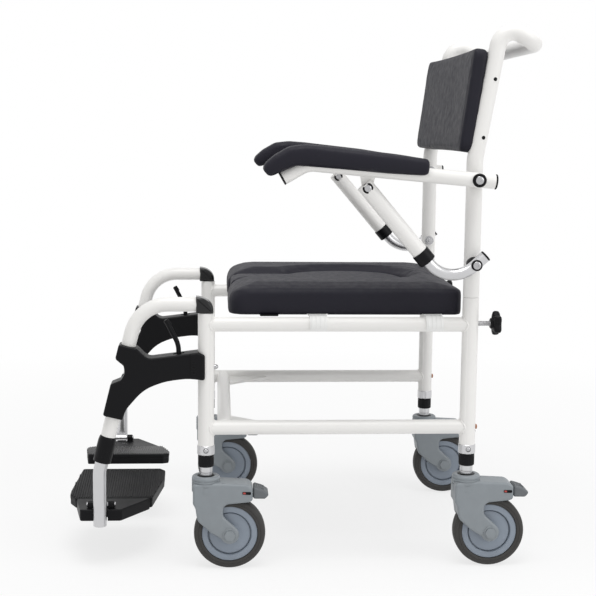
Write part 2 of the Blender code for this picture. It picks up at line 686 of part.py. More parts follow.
def back_knob():
    """Clamp knob behind the rear post, drawn in place."""
    stem_start = REAR_POST_X + POST_BORE + GAP
    knob_start = REAR_POST_X + POST_RADIUS + KNOB_STEM_LENGTH
    steps = 6 * KNOB_LOBES
    outline = []
    for index in range(steps):
        angle = 2 * math.pi * index / steps
        radius = KNOB_RADIUS + KNOB_LOBE * math.cos(KNOB_LOBES * angle)
        outline.append((radius * math.cos(angle), radius * math.sin(angle)))
    turn = Matrix.Rotation(math.radians(90), 4, "Y")
    middle = (knob_start + KNOB_THICKNESS / 2, -HALF_TRACK, KNOB_Z)
    knob = sheet(outline, KNOB_THICKNESS, Matrix.Translation(middle) @ turn)
    stem_end = (knob_start + KNOB_THICKNESS / 2, -HALF_TRACK, KNOB_Z)
    return unite(knob, rod((stem_start, -HALF_TRACK, KNOB_Z), stem_end, KNOB_STEM_RADIUS))


def rounded_rectangle(low, high, radius, steps=4, draw_in=0.0):
    """Outline whose long sides pull in by draw_in at their middle."""
    (left, bottom), (right, top) = low, high
    middle = (left + right) / 2
    points = [(middle, bottom + draw_in)]
    points += arc((right - radius, bottom + radius), radius, -90, 0, steps)
    points += arc((right - radius, top - radius), radius, 0, 90, steps)
    points.append((middle, top - draw_in))
    points += arc((left + radius, top - radius), radius, 90, 180, steps)
    points += arc((left + radius, bottom + radius), radius, 180, 270, steps)
    return points


def back_cushion():
    """Flat at the rear, crowned to the front, leaning with the uprights."""
    lean_up = Vector((math.sin(BACK_LEAN), 0.0, math.cos(BACK_LEAN)))
    forward = Vector((-math.cos(BACK_LEAN), 0.0, math.sin(BACK_LEAN)))
    across = lean_up.cross(forward)
    rear_bottom = Vector((BACK_BOTTOM_X, 0.0, BACK_BOTTOM_Z)) - forward * BACK_THICKNESS
    place = Matrix.Translation(rear_bottom) @ Matrix((across, lean_up, forward)).transposed().to_4x4()

    def outline(inset):
        half = BACK_HALF_WIDTH - inset
        corner = max(BACK_CORNER - inset, PAD_CORNER_MIN)
        return rounded_rectangle((-half, inset), (half, BACK_HEIGHT - inset), corner, draw_in=PAD_DRAW_IN)

    return cushion(outline, BACK_LEVELS, place)


def arm_frame():
    """Pivot and directions of the arm rail in the XZ plane: along it to the front, and down from it."""
    pivot = Vector((REAR_POST_X, ARM_PIVOT_Z))
    along = Vector((-math.cos(ARM_SLOPE), math.sin(ARM_SLOPE)))
    down = Vector((-math.sin(ARM_SLOPE), -math.cos(ARM_SLOPE)))
    return pivot, along, down


def strut_top():
    pivot, along, down = arm_frame()
    return pivot + along * TAB_REACH + down * TAB_DROP


def in_arm_plane(point, y=-ARM_Y):
    return Vector((point[0], y, point[1]))


def across_arm(point, reach, radius):
    """Rod across the arm's plane."""
    return rod(in_arm_plane(point, -ARM_Y - reach), in_arm_plane(point, -ARM_Y + reach), radius)


def rail_path():
    pivot, along, _ = arm_frame()
    bend = pivot + along * ARM_REACH
    nose = bend + Vector((-math.cos(ARM_DROP), -math.sin(ARM_DROP))) * ARM_NOSE
    return rounded([in_arm_plane(point) for point in (pivot - along * ARM_TAIL, bend, nose)], [ARM_BEND])


def arm_rail():
    pivot, along, _ = arm_frame()
    rail = swept(rail_path(), ARM_RAIL_RADIUS)
    cut(rail, across_arm(pivot, 2 * ARM_RAIL_RADIUS, bore(ARM_PIN_RADIUS, RUN)))
    tab = tongue(pivot + along * TAB_REACH, strut_top(), TAB_RADIUS)
    unite(rail, sheet(tab, TAB_THICKNESS, upright(-ARM_Y)))
    return unite(rail, across_arm(strut_top(), STRUT_OUTER_RADIUS + TAB_PIN_PROUD, ARM_PIN_RADIUS))


def arm_pad():
    """Moulded pad lofted along the rail: rounded at the rear, its nose bent down over the rail's end."""
    pivot, along, down = arm_frame()
    y = -ARM_Y - PAD_ASIDE
    rings = []
    for reach, height, pitch, half_height, half_width in PAD_STATIONS:
        middle = pivot + along * (ARM_REACH + reach) - down * height
        angle = ARM_SLOPE - math.radians(pitch)
        up = Vector((math.sin(angle), math.cos(angle)))
        ring = []
        for index in range(PAD_RING):
            turn = 2 * math.pi * index / PAD_RING
            across = math.copysign(abs(math.cos(turn)) ** PAD_SQUARE, math.cos(turn)) * half_width
            rise = math.copysign(abs(math.sin(turn)) ** PAD_SQUARE, math.sin(turn)) * half_height
            point = middle + up * rise
            ring.append((point[0], y + across, point[1]))
        rings.append(ring)
    groove = rail_path()
    end = groove[-1] + (groove[-1] - groove[-2]).normalized() * GAP
    return cut(loft(rings), swept(groove[:-1] + [end], bore(ARM_RAIL_RADIUS, GAP, TUBE_SIDES)))


def strut_axis():
    return Vector((math.cos(STRUT_ANGLE), -math.sin(STRUT_ANGLE)))


def strut_outer():
    """Tube with a forked head over the rail's tab and a collar at its mouth."""
    top, along = strut_top(), strut_axis()
    end = top + along * STRUT_OUTER_LENGTH
    tube = rod(in_arm_plane(top - along * STRUT_HEAD), in_arm_plane(end), STRUT_OUTER_RADIUS, TUBE_SIDES)
    collar_start = end - along * STRUT_COLLAR_LENGTH
    unite(tube, rod(in_arm_plane(collar_start), in_arm_plane(end), STRUT_COLLAR_RADIUS, TUBE_SIDES))
    past = STRUT_OUTER_RADIUS
    bore_start = top + along * (TAB_RADIUS + 2 * RUN)
    cut(tube, rod(in_arm_plane(bore_start), in_arm_plane(end + along * past), STRUT_BORE, TUBE_SIDES))
    slot = [(-STRUT_HEAD - past, -2 * past), (TAB_RADIUS + 3 * RUN, -2 * past),
            (TAB_RADIUS + 3 * RUN, 2 * past), (-STRUT_HEAD - past, 2 * past)]
    turn = Matrix.Translation(in_arm_plane(top)) @ Matrix.Rotation(STRUT_ANGLE, 4, "Y") @ upright(0.0)
    cut(tube, sheet(slot, TAB_THICKNESS + 2 * GAP, turn))
    return cut(tube, across_arm(top, 2 * past, bore(ARM_PIN_RADIUS, RUN)))


def strut_inner():
    """Straight inside the outer tube, then bent up to its pivot beside the upright."""
    top, along = strut_top(), strut_axis()
    pivot = Vector((REAR_POST_X, STRUT_PIVOT_Z))
    tail = Vector((math.cos(STRUT_TAIL_ANGLE), math.sin(STRUT_TAIL_ANGLE)))
    to_pivot = pivot - top
    back = (to_pivot.x * along.y - to_pivot.y * along.x) / (tail.x * along.y - tail.y * along.x)
    corner = pivot - tail * back
    route = [top + along * STRUT_INNER_TOP, corner, pivot + tail * STRUT_INNER_TAIL]
    tube = swept(rounded([in_arm_plane(point) for point in route], [STRUT_INNER_BEND]), STRUT_INNER_RADIUS)
    return cut(tube, across_arm(pivot, 2 * STRUT_INNER_RADIUS, bore(ARM_PIN_RADIUS, RUN)))


def hanger_direction():
    return Vector((-math.sin(HANGER_RAKE), -math.cos(HANGER_RAKE)))


def hanger_corner():
    return Vector((FRONT_POST_X - HANGER_REACH, HANGER_Z))


def hanger_x(z):
    """Hanger's raked axis at height z."""
    return hanger_corner().x - (HANGER_Z - z) * math.tan(HANGER_RAKE)


def foot_x(z):
    """Foot tube's raked axis at height z."""
    return hanger_x(z) + FOOT_SET_BACK


def at_post(point, y=-HALF_TRACK):
    return Vector((point[0], y, point[1]))


def across_post(point, reach, radius):
    """Rod across the side frame's plane."""
    return rod(at_post(point, -HALF_TRACK - reach), at_post(point, -HALF_TRACK + reach), radius)


def hanger_tube():
    start = (FRONT_POST_X - ELBOW_FRONT + ELBOW_SOCKET - GAP, HANGER_Z)
    end = (hanger_x(HANGER_END_Z), HANGER_END_Z)
    route = [at_post(start), at_post(hanger_corner()), at_post(end)]
    return swept(rounded(route, [HANGER_BEND]), HANGER_RADIUS)


def hanger_elbow():
    """Quarter-round cap on the front post, with a spigot that turns in the post."""
    base = FRONT_POST_TOP_Z + GAP
    low = base + ELBOW_RIM
    mouth = FRONT_POST_X - ELBOW_FRONT
    length = ELBOW_FRONT + ELBOW_REAR
    outline = [(mouth, base), (FRONT_POST_X + ELBOW_REAR, base)]
    for x, z in arc((0.0, 0.0), 1.0, 0, 90, 7):
        outline.append((mouth + length * x, low + (ELBOW_TOP_Z - low) * z))
    elbow = sheet(outline, 2 * ELBOW_HALF_WIDTH, upright(-HALF_TRACK))
    plug = POST_BORE * math.cos(math.pi / TUBE_SIDES) - RUN
    spigot_end = at_post((FRONT_POST_X, base - ELBOW_SPIGOT))
    unite(elbow, rod(spigot_end, at_post((FRONT_POST_X, base + ELBOW_RIM)), plug, TUBE_SIDES))
    socket = (at_post((mouth - HANGER_RADIUS, HANGER_Z)), at_post((mouth + ELBOW_SOCKET, HANGER_Z)))
    return cut(elbow, rod(*socket, bore(HANGER_RADIUS, GAP, TUBE_SIDES), TUBE_SIDES))


def bracket_outline():
    """Side view: a socket on the hanger, an arm back to the post and a knee down to the foot tube."""
    outline = [(hanger_x(z) + offset, z) for offset, z in BRACKET_SOCKET]
    outline += [(FRONT_POST_X + offset, z) for offset, z in BRACKET_ARM]
    return outline + [(foot_x(z) + offset, z) for offset, z in BRACKET_KNEE]


def hanger_bracket():
    bracket = sheet(bracket_outline(), 2 * BRACKET_HALF_WIDTH, upright(-HALF_TRACK))
    soften = bracket.modifiers.new("edges", "BEVEL")
    soften.width = BRACKET_EDGE
    soften.segments = 1
    soften.limit_method = "ANGLE"
    soften.angle_limit = math.radians(60)
    bracket.data = evaluated_mesh(bracket)
    bracket.modifiers.clear()
    saddle = (at_post((FRONT_POST_X, LOWER_RAIL_Z)), at_post((FRONT_POST_X, SEAT_RAIL_Z)))
    cut(bracket, rod(*saddle, bore(POST_RADIUS, RUN, TUBE_SIDES), TUBE_SIDES))
    direction = hanger_direction()
    past = 6 * POST_RADIUS
    seat = Vector((hanger_x(HANGER_END_Z), HANGER_END_Z)) + direction * GAP
    socket = (at_post(seat), at_post(seat - direction * past))
    cut(bracket, rod(*socket, bore(HANGER_RADIUS, GAP, TUBE_SIDES), TUBE_SIDES))
    top = Vector((foot_x(FOOT_TOP_Z), FOOT_TOP_Z)) - direction * (FOOT_NOTCH + GAP)
    socket = (at_post(top), at_post(top + direction * past))
    cut(bracket, rod(*socket, bore(FOOT_UPPER_RADIUS, GAP, TUBE_SIDES), TUBE_SIDES))
    pivot = (FRONT_POST_X + HANGER_LEVER_X, HANGER_LEVER_Z)
    half = HANGER_LEVER_SLOT / 2
    reach = HANGER_LEVER_HUB + SLOT_ROOM
    slot_floor = HANGER_LEVER_Z - HANGER_LEVER_HUB - 2 * RUN
    cut(bracket, box((pivot[0] - reach, -HALF_TRACK - half, slot_floor),
                     (pivot[0] + reach, -HALF_TRACK + half, SEAT_RAIL_Z)))
    return unite(bracket, across_post(pivot, half + SLOT_ROOM, HANGER_LEVER_PIN))


def hanger_lever():
    pivot = Vector((FRONT_POST_X + HANGER_LEVER_X, HANGER_LEVER_Z))
    knee = pivot + Vector((0.0, LEVER_KNEE))
    end = (pivot.x - LEVER_LEAN, LEVER_TOP_Z)
    route = [at_post(pivot), at_post(knee), at_post(end)]
    lever = swept(rounded(route, [LEVER_BEND]), HANGER_LEVER_RADIUS, ROD_SIDES)
    unite(lever, across_post(pivot, HANGER_LEVER_SLOT / 2 - 2 * RUN, HANGER_LEVER_HUB))
    return cut(lever, across_post(pivot, HANGER_LEVER_SLOT, bore(HANGER_LEVER_PIN, RUN)))


def on_foot_axis(z):
    return at_post((foot_x(z), z))


def hinge_rod(reach, radius):
    """Rod along the footplate's hinge."""
    x, y = foot_x(FOOT_BEND_Z), -HALF_TRACK + PLATE_HINGE_IN
    return rod((x - reach, y, PLATE_HINGE_Z), (x + reach, y, PLATE_HINGE_Z), radius)


def foot_tube():
    """Raked tube from the bracket, a knuckle and an upright tube that carries the plate's hinge."""
    knuckle_top, corner = on_foot_axis(KNUCKLE_TOP_Z), on_foot_axis(FOOT_BEND_Z)
    tube = rod(on_foot_axis(FOOT_TOP_Z), knuckle_top, FOOT_UPPER_RADIUS, TUBE_SIDES)
    unite(tube, rod(knuckle_top, on_foot_axis(KNUCKLE_BOTTOM_Z), KNUCKLE_RADIUS, TUBE_SIDES))
    route = [knuckle_top, corner, (corner.x, corner.y, FOOT_TUBE_BOTTOM_Z)]
    unite(tube, swept(rounded(route, [FOOT_BEND]), FOOT_TUBE_RADIUS))
    hinge_y = -HALF_TRACK + PLATE_HINGE_IN
    lug = tongue((-HALF_TRACK, PLATE_HINGE_Z), (hinge_y, PLATE_HINGE_Z), LUG_RADIUS)
    sideways = Matrix.Rotation(math.radians(90), 4, "Z") @ Matrix.Rotation(math.radians(90), 4, "X")
    place = Matrix.Translation((corner.x, 0.0, 0.0)) @ sideways
    unite(tube, sheet(lug, 2 * FOOT_TUBE_RADIUS - LUG_INSET, place))
    return unite(tube, hinge_rod(FOOT_TUBE_RADIUS + NOTCH_PLAY + PLATE_EAR, PLATE_PIN_RADIUS))


def footplate():
    """Deck tilted down to the outside, a block that narrows to the foot tube, and two hinge ears."""
    tube_x = foot_x(FOOT_BEND_Z)
    front, rear = tube_x - PLATE_FRONT, tube_x + PLATE_REAR
    width = PLATE_BOUNDARY_Y - PLATE_INNER_Y
    tilt = math.atan2(PLATE_INNER_Z - PLATE_OUTER_Z, width)
    deep = width / math.cos(tilt)
    deck_outline = [(rear - HEEL_CUT, deep), (rear, deep - HEEL_CUT), (rear, deep - HEEL_RUN),
                    (rear - HEEL_TAPER, 0.0), (front + TOE_TAPER, 0.0), (front, TOE_RUN),
                    (front, 2 * TOE_RUN), (front + TOE_TAPER, deep)]
    deck_edge = Matrix.Translation((0.0, -PLATE_BOUNDARY_Y, PLATE_OUTER_Z)) @ Matrix.Rotation(tilt, 4, "X")
    down = Matrix.Translation((0.0, 0.0, -PLATE_THICKNESS / 2))
    plate = sheet(deck_outline, PLATE_THICKNESS, deck_edge @ down)
    overlap = PLATE_THICKNESS / 2
    inner = -PLATE_BOUNDARY_Y + overlap
    block_outline = [(rear - HEEL_TAPER - EDGE_STEP, inner), (front + TOE_TAPER + EDGE_STEP, inner),
                     (tube_x - BLOCK_HALF, -PLATE_OUTER_Y), (tube_x + BLOCK_HALF, -PLATE_OUTER_Y)]
    low = PLATE_OUTER_Z - PLATE_BLOCK_DEPTH
    high = PLATE_OUTER_Z - GAP
    unite(plate, sheet(block_outline, high - low, Matrix.Translation((0.0, 0.0, (low + high) / 2))))
    hinge_y = -HALF_TRACK + PLATE_HINGE_IN
    notch = FOOT_TUBE_RADIUS + NOTCH_PLAY
    ear = notch + PLATE_EAR
    unite(plate, box((tube_x - ear, hinge_y - LUG_RADIUS, low + overlap),
                     (tube_x + ear, hinge_y + LUG_RADIUS, PLATE_HINGE_Z)))
    unite(plate, hinge_rod(ear, bore(LUG_RADIUS, 0.0)))
    past = LUG_RADIUS
    cut(plate, box((tube_x - notch, -PLATE_OUTER_Y - past, low - past),
                   (tube_x + notch, hinge_y + LUG_RADIUS + NOTCH_PLAY, PLATE_HINGE_Z + 2 * past)))
    return cut(plate, hinge_rod(2 * ear, bore(PLATE_PIN_RADIUS, RUN)))


def keyhole(grow, front):
    """Seat opening from its front end round the oval, widened by grow; open at the front."""
    centre = (HOLE_FRONT_X + HOLE_REAR_X) / 2
    half_length = (HOLE_REAR_X - HOLE_FRONT_X) / 2 + grow
    half_width = HOLE_HALF_WIDTH + grow
    channel = HOLE_FRONT_HALF_WIDTH + grow
    meet = math.pi - math.asin(channel / half_width)
    points = [(front, channel)]
    for index in range(HOLE_STEPS + 1):
        angle = meet - 2 * meet * index / HOLE_STEPS
        points.append((centre + half_length * math.cos(angle), half_width * math.sin(angle)))
    points.append((front, -channel))
    return points


def horseshoe(inset, hole_grow):
    """Seat outline with its open-fronted keyhole."""
    front, rear = SEAT_FRONT_X + inset, SEAT_REAR_X - inset
    half = SEAT_HALF_WIDTH - inset
    radius = max(SEAT_CORNER - inset, PAD_CORNER_MIN)
    mouth = max(SEAT_MOUTH - inset, PAD_CORNER_MIN)
    channel = HOLE_FRONT_HALF_WIDTH + hole_grow
    points = arc((front + mouth, -channel - mouth), mouth, 90, 180, 3)
    points += arc((front + radius, -half + radius), radius, 180, 270, 4)
    points += arc((rear - radius, -half + radius), radius, 270, 360, 4)
    points += arc((rear - radius, half - radius), radius, 0, 90, 4)
    points += arc((front + radius, half - radius), radius, 90, 180, 4)
    points += arc((front + mouth, channel + mouth), mouth, 180, 270, 3)
    return points + keyhole(hole_grow, front + mouth)[1:-1]


def seat_cushion():
    def outline(inset):
        return horseshoe(inset, inset)

    return cushion(outline, SEAT_LEVELS, Matrix.Translation((0.0, 0.0, SEAT_BOTTOM_Z)))


def seat_insert():
    def outline(inset):
        return keyhole(-INSERT_CLEAR - inset, SEAT_FRONT_X + INSERT_SET_BACK + inset)

    return cushion(outline, INSERT_LEVELS, Matrix.Translation((0.0, 0.0, SEAT_BOTTOM_Z)))


def rail_clip(side, x):
    """Inverted U over the seat rail, reaching in under the board."""
    rail_top = SEAT_RAIL_Z + RAIL_RADIUS + GAP
    slot = RAIL_RADIUS + GAP
    wall = slot + CLIP_WALL
    front, rear = x - CLIP_LENGTH / 2, x + CLIP_LENGTH / 2
    reach = min(SEAT_HALF_WIDTH - BASE_INSET - CLIP_WALL, HALF_TRACK - wall)
    inner, outer = sorted((side * reach, side * (HALF_TRACK + wall)))
    clip = box((front, inner, rail_top), (rear, outer, SEAT_BOTTOM_Z - 2 * GAP))
    for near, far in ((HALF_TRACK - wall, HALF_TRACK - slot), (HALF_TRACK + slot, HALF_TRACK + wall)):
        inner, outer = sorted((side * near, side * far))
        unite(clip, box((front, inner, SEAT_RAIL_Z - CLIP_DROP), (rear, outer, rail_top + CLIP_WALL)))
    return clip


def seat_base():
    """Board under the pad, with clips over the rails and a bumper at each side."""
    top = SEAT_BOTTOM_Z - GAP
    middle = Matrix.Translation((0.0, 0.0, top - BASE_THICKNESS / 2))
    base = sheet(horseshoe(BASE_INSET, -LEDGE), BASE_THICKNESS, middle)
    for side in (-1, 1):
        for x in CLIP_POSITIONS:
            unite(base, rail_clip(side, x))
        board_edge = side * (SEAT_HALF_WIDTH - BASE_INSET - CLIP_WALL)
        inner, outer = sorted((board_edge, side * (HALF_TRACK - BUMPER_INSET)))
        unite(base, box((BUMPER_X - BUMPER_LENGTH / 2, inner, SEAT_RAIL_Z + RAIL_RADIUS + GAP),
                        (BUMPER_X + BUMPER_LENGTH / 2, outer, top - GAP)))
    return base


class Chair:
    """Names the finished solids, sets each origin on its joint's axis and hangs it on what carries it."""

    def __init__(self):
        self.parts = collection("shower_commode_chair")
        self.root = bpy.data.objects.new("chair", None)
        self.parts.objects.link(self.root)

    def add(self, item, name, finish, origin=(0.0, 0.0, 0.0), parent=None, drawn_at_origin=False):
        origin = Vector(origin)
        if not drawn_at_origin:
            item.data.transform(Matrix.Translation(-origin))
        item.name = name
        item.data.name = name
        item.data.materials.clear()
        item.data.materials.append(material(finish))
        item.data.shade_smooth()
        item.data.set_sharp_from_angle(angle=math.radians(32))
        carrier = parent or self.root
        item.parent = carrier
        item.location = origin - self.place_of(carrier)
        for held in list(item.users_collection):
            held.objects.unlink(item)
        self.parts.objects.link(item)
        return item

    def place_of(self, item):
        place = Vector(item.location)
        while item.parent:
            item = item.parent
            place += item.location
        return place

    def add_pair(self, item, name, finish, origin=(0.0, 0.0, 0.0), parents=(None, None)):
        """Left piece as drawn and its mirror on the right."""
        other = mirrored(item)
        x, y, z = origin
        left = self.add(item, name + "_left", finish, origin, parents[0])
        right = self.add(other, name + "_right", finish, (x, -y, z), parents[1])
        return left, right


def add_legs(chair, frames):
    """Leg, button, collar and caster at each corner; casters all trail to the rear."""
    drawn = {"leg_tube": leg_tube(), "leg_collar": leg_collar(), "height_button": height_button()}
    other = {name: mirrored(item) for name, item in drawn.items()}
    fork, rim, tread, pedal = caster_fork(), wheel_rim(), tyre(), brake_pedal()
    for end, x in (("front", FRONT_POST_X), ("rear", REAR_POST_X)):
        for side, sign, frame in (("left", -1, frames[0]), ("right", 1, frames[1])):
            corner = end + "_" + side
            y = sign * HALF_TRACK
            shapes = drawn if sign < 0 else other

            def copy(item):
                return link("solid", item.data.copy())

            def put(item, name, finish, place, parent):
                return chair.add(copy(item), name + "_" + corner, finish, place, parent, drawn_at_origin=True)

            put(shapes["leg_collar"], "leg_collar", "black_plastic", (x, y, 0.0), frame)
            put(shapes["height_button"], "height_button", "zinc_steel", (x, y, BUTTON_Z), frame)
            leg = put(shapes["leg_tube"], "leg_tube", "satin_aluminium", (x, y, 0.0), frame)
            swivel = put(fork, "caster_fork", "grey_plastic", (x, y, 0.0), leg)
            put(rim, "wheel_rim", "grey_plastic", (x + TRAIL, y, WHEEL_RADIUS), swivel)
            put(tread, "tyre", "tyre_rubber", (x + TRAIL, y, WHEEL_RADIUS), swivel)
            put(pedal, "brake_pedal", "pedal_plastic", (x + PEDAL_PIVOT_X, y, PEDAL_PIVOT_Z), swivel)
    for item in (*drawn.values(), *other.values(), fork, rim, tread, pedal):
        bpy.data.objects.remove(item)


def add_back(chair):
    frame = chair.add(back_frame(), "back_frame", "powder_coat", (REAR_POST_X, 0.0, REAR_POST_TOP_Z))
    chair.add(back_cushion(), "back_cushion", "charcoal_foam", (BACK_BOTTOM_X, 0.0, BACK_BOTTOM_Z), frame)
    return frame


def add_arms(chair, back):
    pivot = (REAR_POST_X, -ARM_Y, ARM_PIVOT_Z)
    rails = chair.add_pair(arm_rail(), "arm_rail", "powder_coat", pivot, (back, back))
    chair.add_pair(arm_pad(), "arm_pad", "charcoal_foam", pivot, rails)
    chair.add_pair(strut_outer(), "strut_outer", "powder_coat", in_arm_plane(strut_top()), rails)
    low = (REAR_POST_X, -ARM_Y, STRUT_PIVOT_Z)
    chair.add_pair(strut_inner(), "strut_inner", "satin_aluminium", low, (back, back))


def add_footrests(chair, frames):
    swing = (FRONT_POST_X, -HALF_TRACK, HANGER_Z)
    elbows = chair.add_pair(hanger_elbow(), "hanger_elbow", "black_plastic", swing, frames)
    chair.add_pair(hanger_tube(), "hanger_tube", "powder_coat", swing, elbows)
    brackets = chair.add_pair(hanger_bracket(), "hanger_bracket", "black_plastic", swing, elbows)
    lever_place = (FRONT_POST_X + HANGER_LEVER_X, -HALF_TRACK, HANGER_LEVER_Z)
    chair.add_pair(hanger_lever(), "hanger_lever", "black_plastic", lever_place, brackets)
    tube_x = foot_x(FOOT_BEND_Z)
    tube_place = (tube_x, -HALF_TRACK, FOOT_BEND_Z)
    tubes = chair.add_pair(foot_tube(), "foot_tube", "satin_aluminium", tube_place, brackets)
    hinge = (tube_x, -HALF_TRACK + PLATE_HINGE_IN, PLATE_HINGE_Z)
    chair.add_pair(footplate(), "footplate", "black_plastic", hinge, tubes)
    tubes[1].location -= at_post(hanger_direction(), 0.0) * FOOT_NOTCH


def add_seat(chair):
    base = chair.add(seat_base(), "seat_base", "white_plastic", (0.0, 0.0, SEAT_BOTTOM_Z))
    chair.add(seat_cushion(), "seat_cushion", "charcoal_foam", (0.0, 0.0, SEAT_BOTTOM_Z), base)
    chair.add(seat_insert(), "seat_insert", "charcoal_foam", (0.0, 0.0, SEAT_BOTTOM_Z), base)


def build():
    clear_scene()
    chair = Chair()
    left = side_frame()
    right = mirrored(left)
    frames = (chair.add(left, "left_side_frame", "powder_coat"),
              chair.add(right, "right_side_frame", "powder_coat"))
    chair.add(front_cross_tube(), "front_cross_tube", "powder_coat", (0.0, 0.0, LOWER_RAIL_Z))
    add_legs(chair, frames)
    knob_place = (REAR_POST_X, -HALF_TRACK, KNOB_Z)
    chair.add_pair(back_knob(), "back_knob", "black_plastic", knob_place, frames)
    back = add_back(chair)
    add_arms(chair, back)
    add_footrests(chair, frames)
    add_seat(chair)


build()
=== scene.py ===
"""Looks of the wheeled shower commode chair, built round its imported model.

Metres, +Z up. The front faces -X and the sitter's left, on the camera's side, is -Y. Left pieces are made
in place and mirrored for the right.
"""

import json
import math

import bmesh
import bpy
from mathutils import Matrix, Vector


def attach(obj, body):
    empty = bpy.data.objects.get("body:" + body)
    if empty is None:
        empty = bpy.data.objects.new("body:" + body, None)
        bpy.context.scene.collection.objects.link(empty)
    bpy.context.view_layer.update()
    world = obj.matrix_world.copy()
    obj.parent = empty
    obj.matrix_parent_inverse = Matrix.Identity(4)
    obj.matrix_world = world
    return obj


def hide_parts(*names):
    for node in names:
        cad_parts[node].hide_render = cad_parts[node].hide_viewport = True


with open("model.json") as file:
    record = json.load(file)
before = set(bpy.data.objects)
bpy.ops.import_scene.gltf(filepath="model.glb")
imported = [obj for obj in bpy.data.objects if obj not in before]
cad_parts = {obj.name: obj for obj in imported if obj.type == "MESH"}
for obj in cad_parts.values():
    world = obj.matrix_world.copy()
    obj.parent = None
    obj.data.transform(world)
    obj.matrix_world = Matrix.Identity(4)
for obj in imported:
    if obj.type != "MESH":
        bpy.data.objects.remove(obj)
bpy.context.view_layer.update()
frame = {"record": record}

BODY_OF = {node: body for body, nodes in frame["record"]["behaviour"]["bodies"].items() for node in nodes}

SIDES = 32               # facets round tubes
FINE_SIDES = 20          # facets round pins and small heads
HOLE_SIDES = 16
WHEEL_SIDES = 80
QUARTER = math.radians(90)
OUTWARD = (0.0, -1.0, 0.0)
INWARD = (0.0, 1.0, 0.0)
BACKWARD = (1.0, 0.0, 0.0)
BEND_STEP = math.radians(6)
LEAST_TURN = math.radians(1)
PLAY = 0.0003            # between pieces that touch

# Side frames and legs
HALF_TRACK = 0.230
FRONT_POST_X = -0.1645
REAR_POST_X = 0.293
CORNERS = {"front": FRONT_POST_X, "rear": REAR_POST_X}
POST_RADIUS = 0.014
POST_BORE = 0.0124
RAIL_RADIUS = 0.0125
POST_BOTTOM_Z = 0.202
FRONT_POST_TOP_Z = 0.450
REAR_POST_TOP_Z = 0.478
SEAT_RAIL_Z = 0.430
LOWER_RAIL_Z = 0.249
RAIL_HEIGHTS = (SEAT_RAIL_Z, LOWER_RAIL_Z)
WELD = 0.0019
WELD_RIPPLES = 9
WELD_RIPPLE = 0.10       # share of the bead
CROSS_TUBE_X = FRONT_POST_X + 0.032
GUSSET_ALONG_RAIL = 0.100
GUSSET_ALONG_TUBE = 0.085
GUSSET_THICKNESS = 0.004
LEG_RADIUS = 0.0112
LEG_TOP_Z = 0.322
COLLAR_RADIUS = 0.0138
COLLAR_HEIGHT = 0.021
BUTTON_Z = 0.211
BUTTON_RADIUS = 0.0042
BUTTON_HEIGHT = 0.0049
BUTTON_HOLE = 0.0046
LEG_HOLE_PITCH = 0.025
LEG_HOLES = 3
SLEEVE_TOP_Z = 0.2185
SLEEVE_RADIUS = 0.0149
LATCH_Z = 0.3555
LATCH_ASIDE = 0.0030     # clears the bracket when it has swung out
LATCH_ROOT = 0.0022
LATCH_PIN = (0.0042, 0.0093)
RAIL_PLUG = (0.0046, 0.0036)
RAIL_PLUG_ROOT = 0.0004

# Casters
WHEEL_RADIUS = 0.0625
TRAIL = 0.0415
FORK_HALF_WIDTH = 0.0235
FORK_CHEEK = 0.0055
FORK_LOBE = 0.0165
FORK_TOP_Z = 0.165
HEAD_RADIUS = 0.0245
WHEEL_ROOM = 0.0655
PEDAL_PIVOT = (0.0735, 0.127)
PEDAL_HALF_WIDTH = 0.019
TONGUE_HALF_WIDTH = 0.008
AXLE_HEAD = 0.0100

# Back
RAKE_START_Z = 0.715
RAKE = math.radians(10)
BAR_CORNER_Z = 0.941
BAR_REAR = (0.395, 0.911)
BACK_BENDS = (0.060, 0.026, 0.030)
KNOB_Z = 0.432
KNOB_HOLE = 0.0049
BOSS_HEIGHTS = (0.752, 0.850)
BOSS_RADIUS = 0.005
PLUG_DEPTH = 0.088       # of the back tube in the rear post
KNOB_RADIUS = 0.0185
KNOB_LOBES = 5
KNOB_LOBE = 0.0035
KNOB_SIDES = 80
STUD_TURNS = 14
BACK_HALF_WIDTH = 0.208
BACK_FRONT_BOTTOM = (0.269, 0.728)
BACK_THICKNESS = 0.034
BACK_LEAN = math.radians(7.5)

# Arms
ARM_Y = 0.262
ARM_PIVOT_Z = 0.681
ARM_SLOPE = math.radians(5)
ARM_RAIL_RADIUS = 0.0125
ARM_TAIL = 0.032
ARM_REACH = 0.290
ARM_DROP = math.radians(30)
ARM_NOSE = 0.050
ARM_BEND = 0.040
TAB_REACH = 0.186
TAB_DROP = 0.031
STRUT_PIVOT_Z = 0.5375
STRUT_ANGLE = math.radians(49.5)
STRUT_OUTER_RADIUS = 0.014
STRUT_OUTER_LENGTH = 0.163
STRUT_HEAD = 0.008
STRUT_COLLAR_RADIUS = 0.0155
STRUT_COLLAR_LENGTH = 0.022
STRUT_INNER_RADIUS = 0.010
STRUT_INNER_TOP = 0.020
STRUT_INNER_BEND = 0.053
STRUT_TAIL_ANGLE = math.radians(42.7)
STRUT_INNER_TAIL = 0.024
PIN_RADIUS = 0.004
PIVOT_BORE = 0.0044
ARM_BORE = 0.0045
BORE_REACH = 0.020
CAP_THICKNESS = 0.0030   # of the plugs in tube ends
CAP_LAP = 0.0004

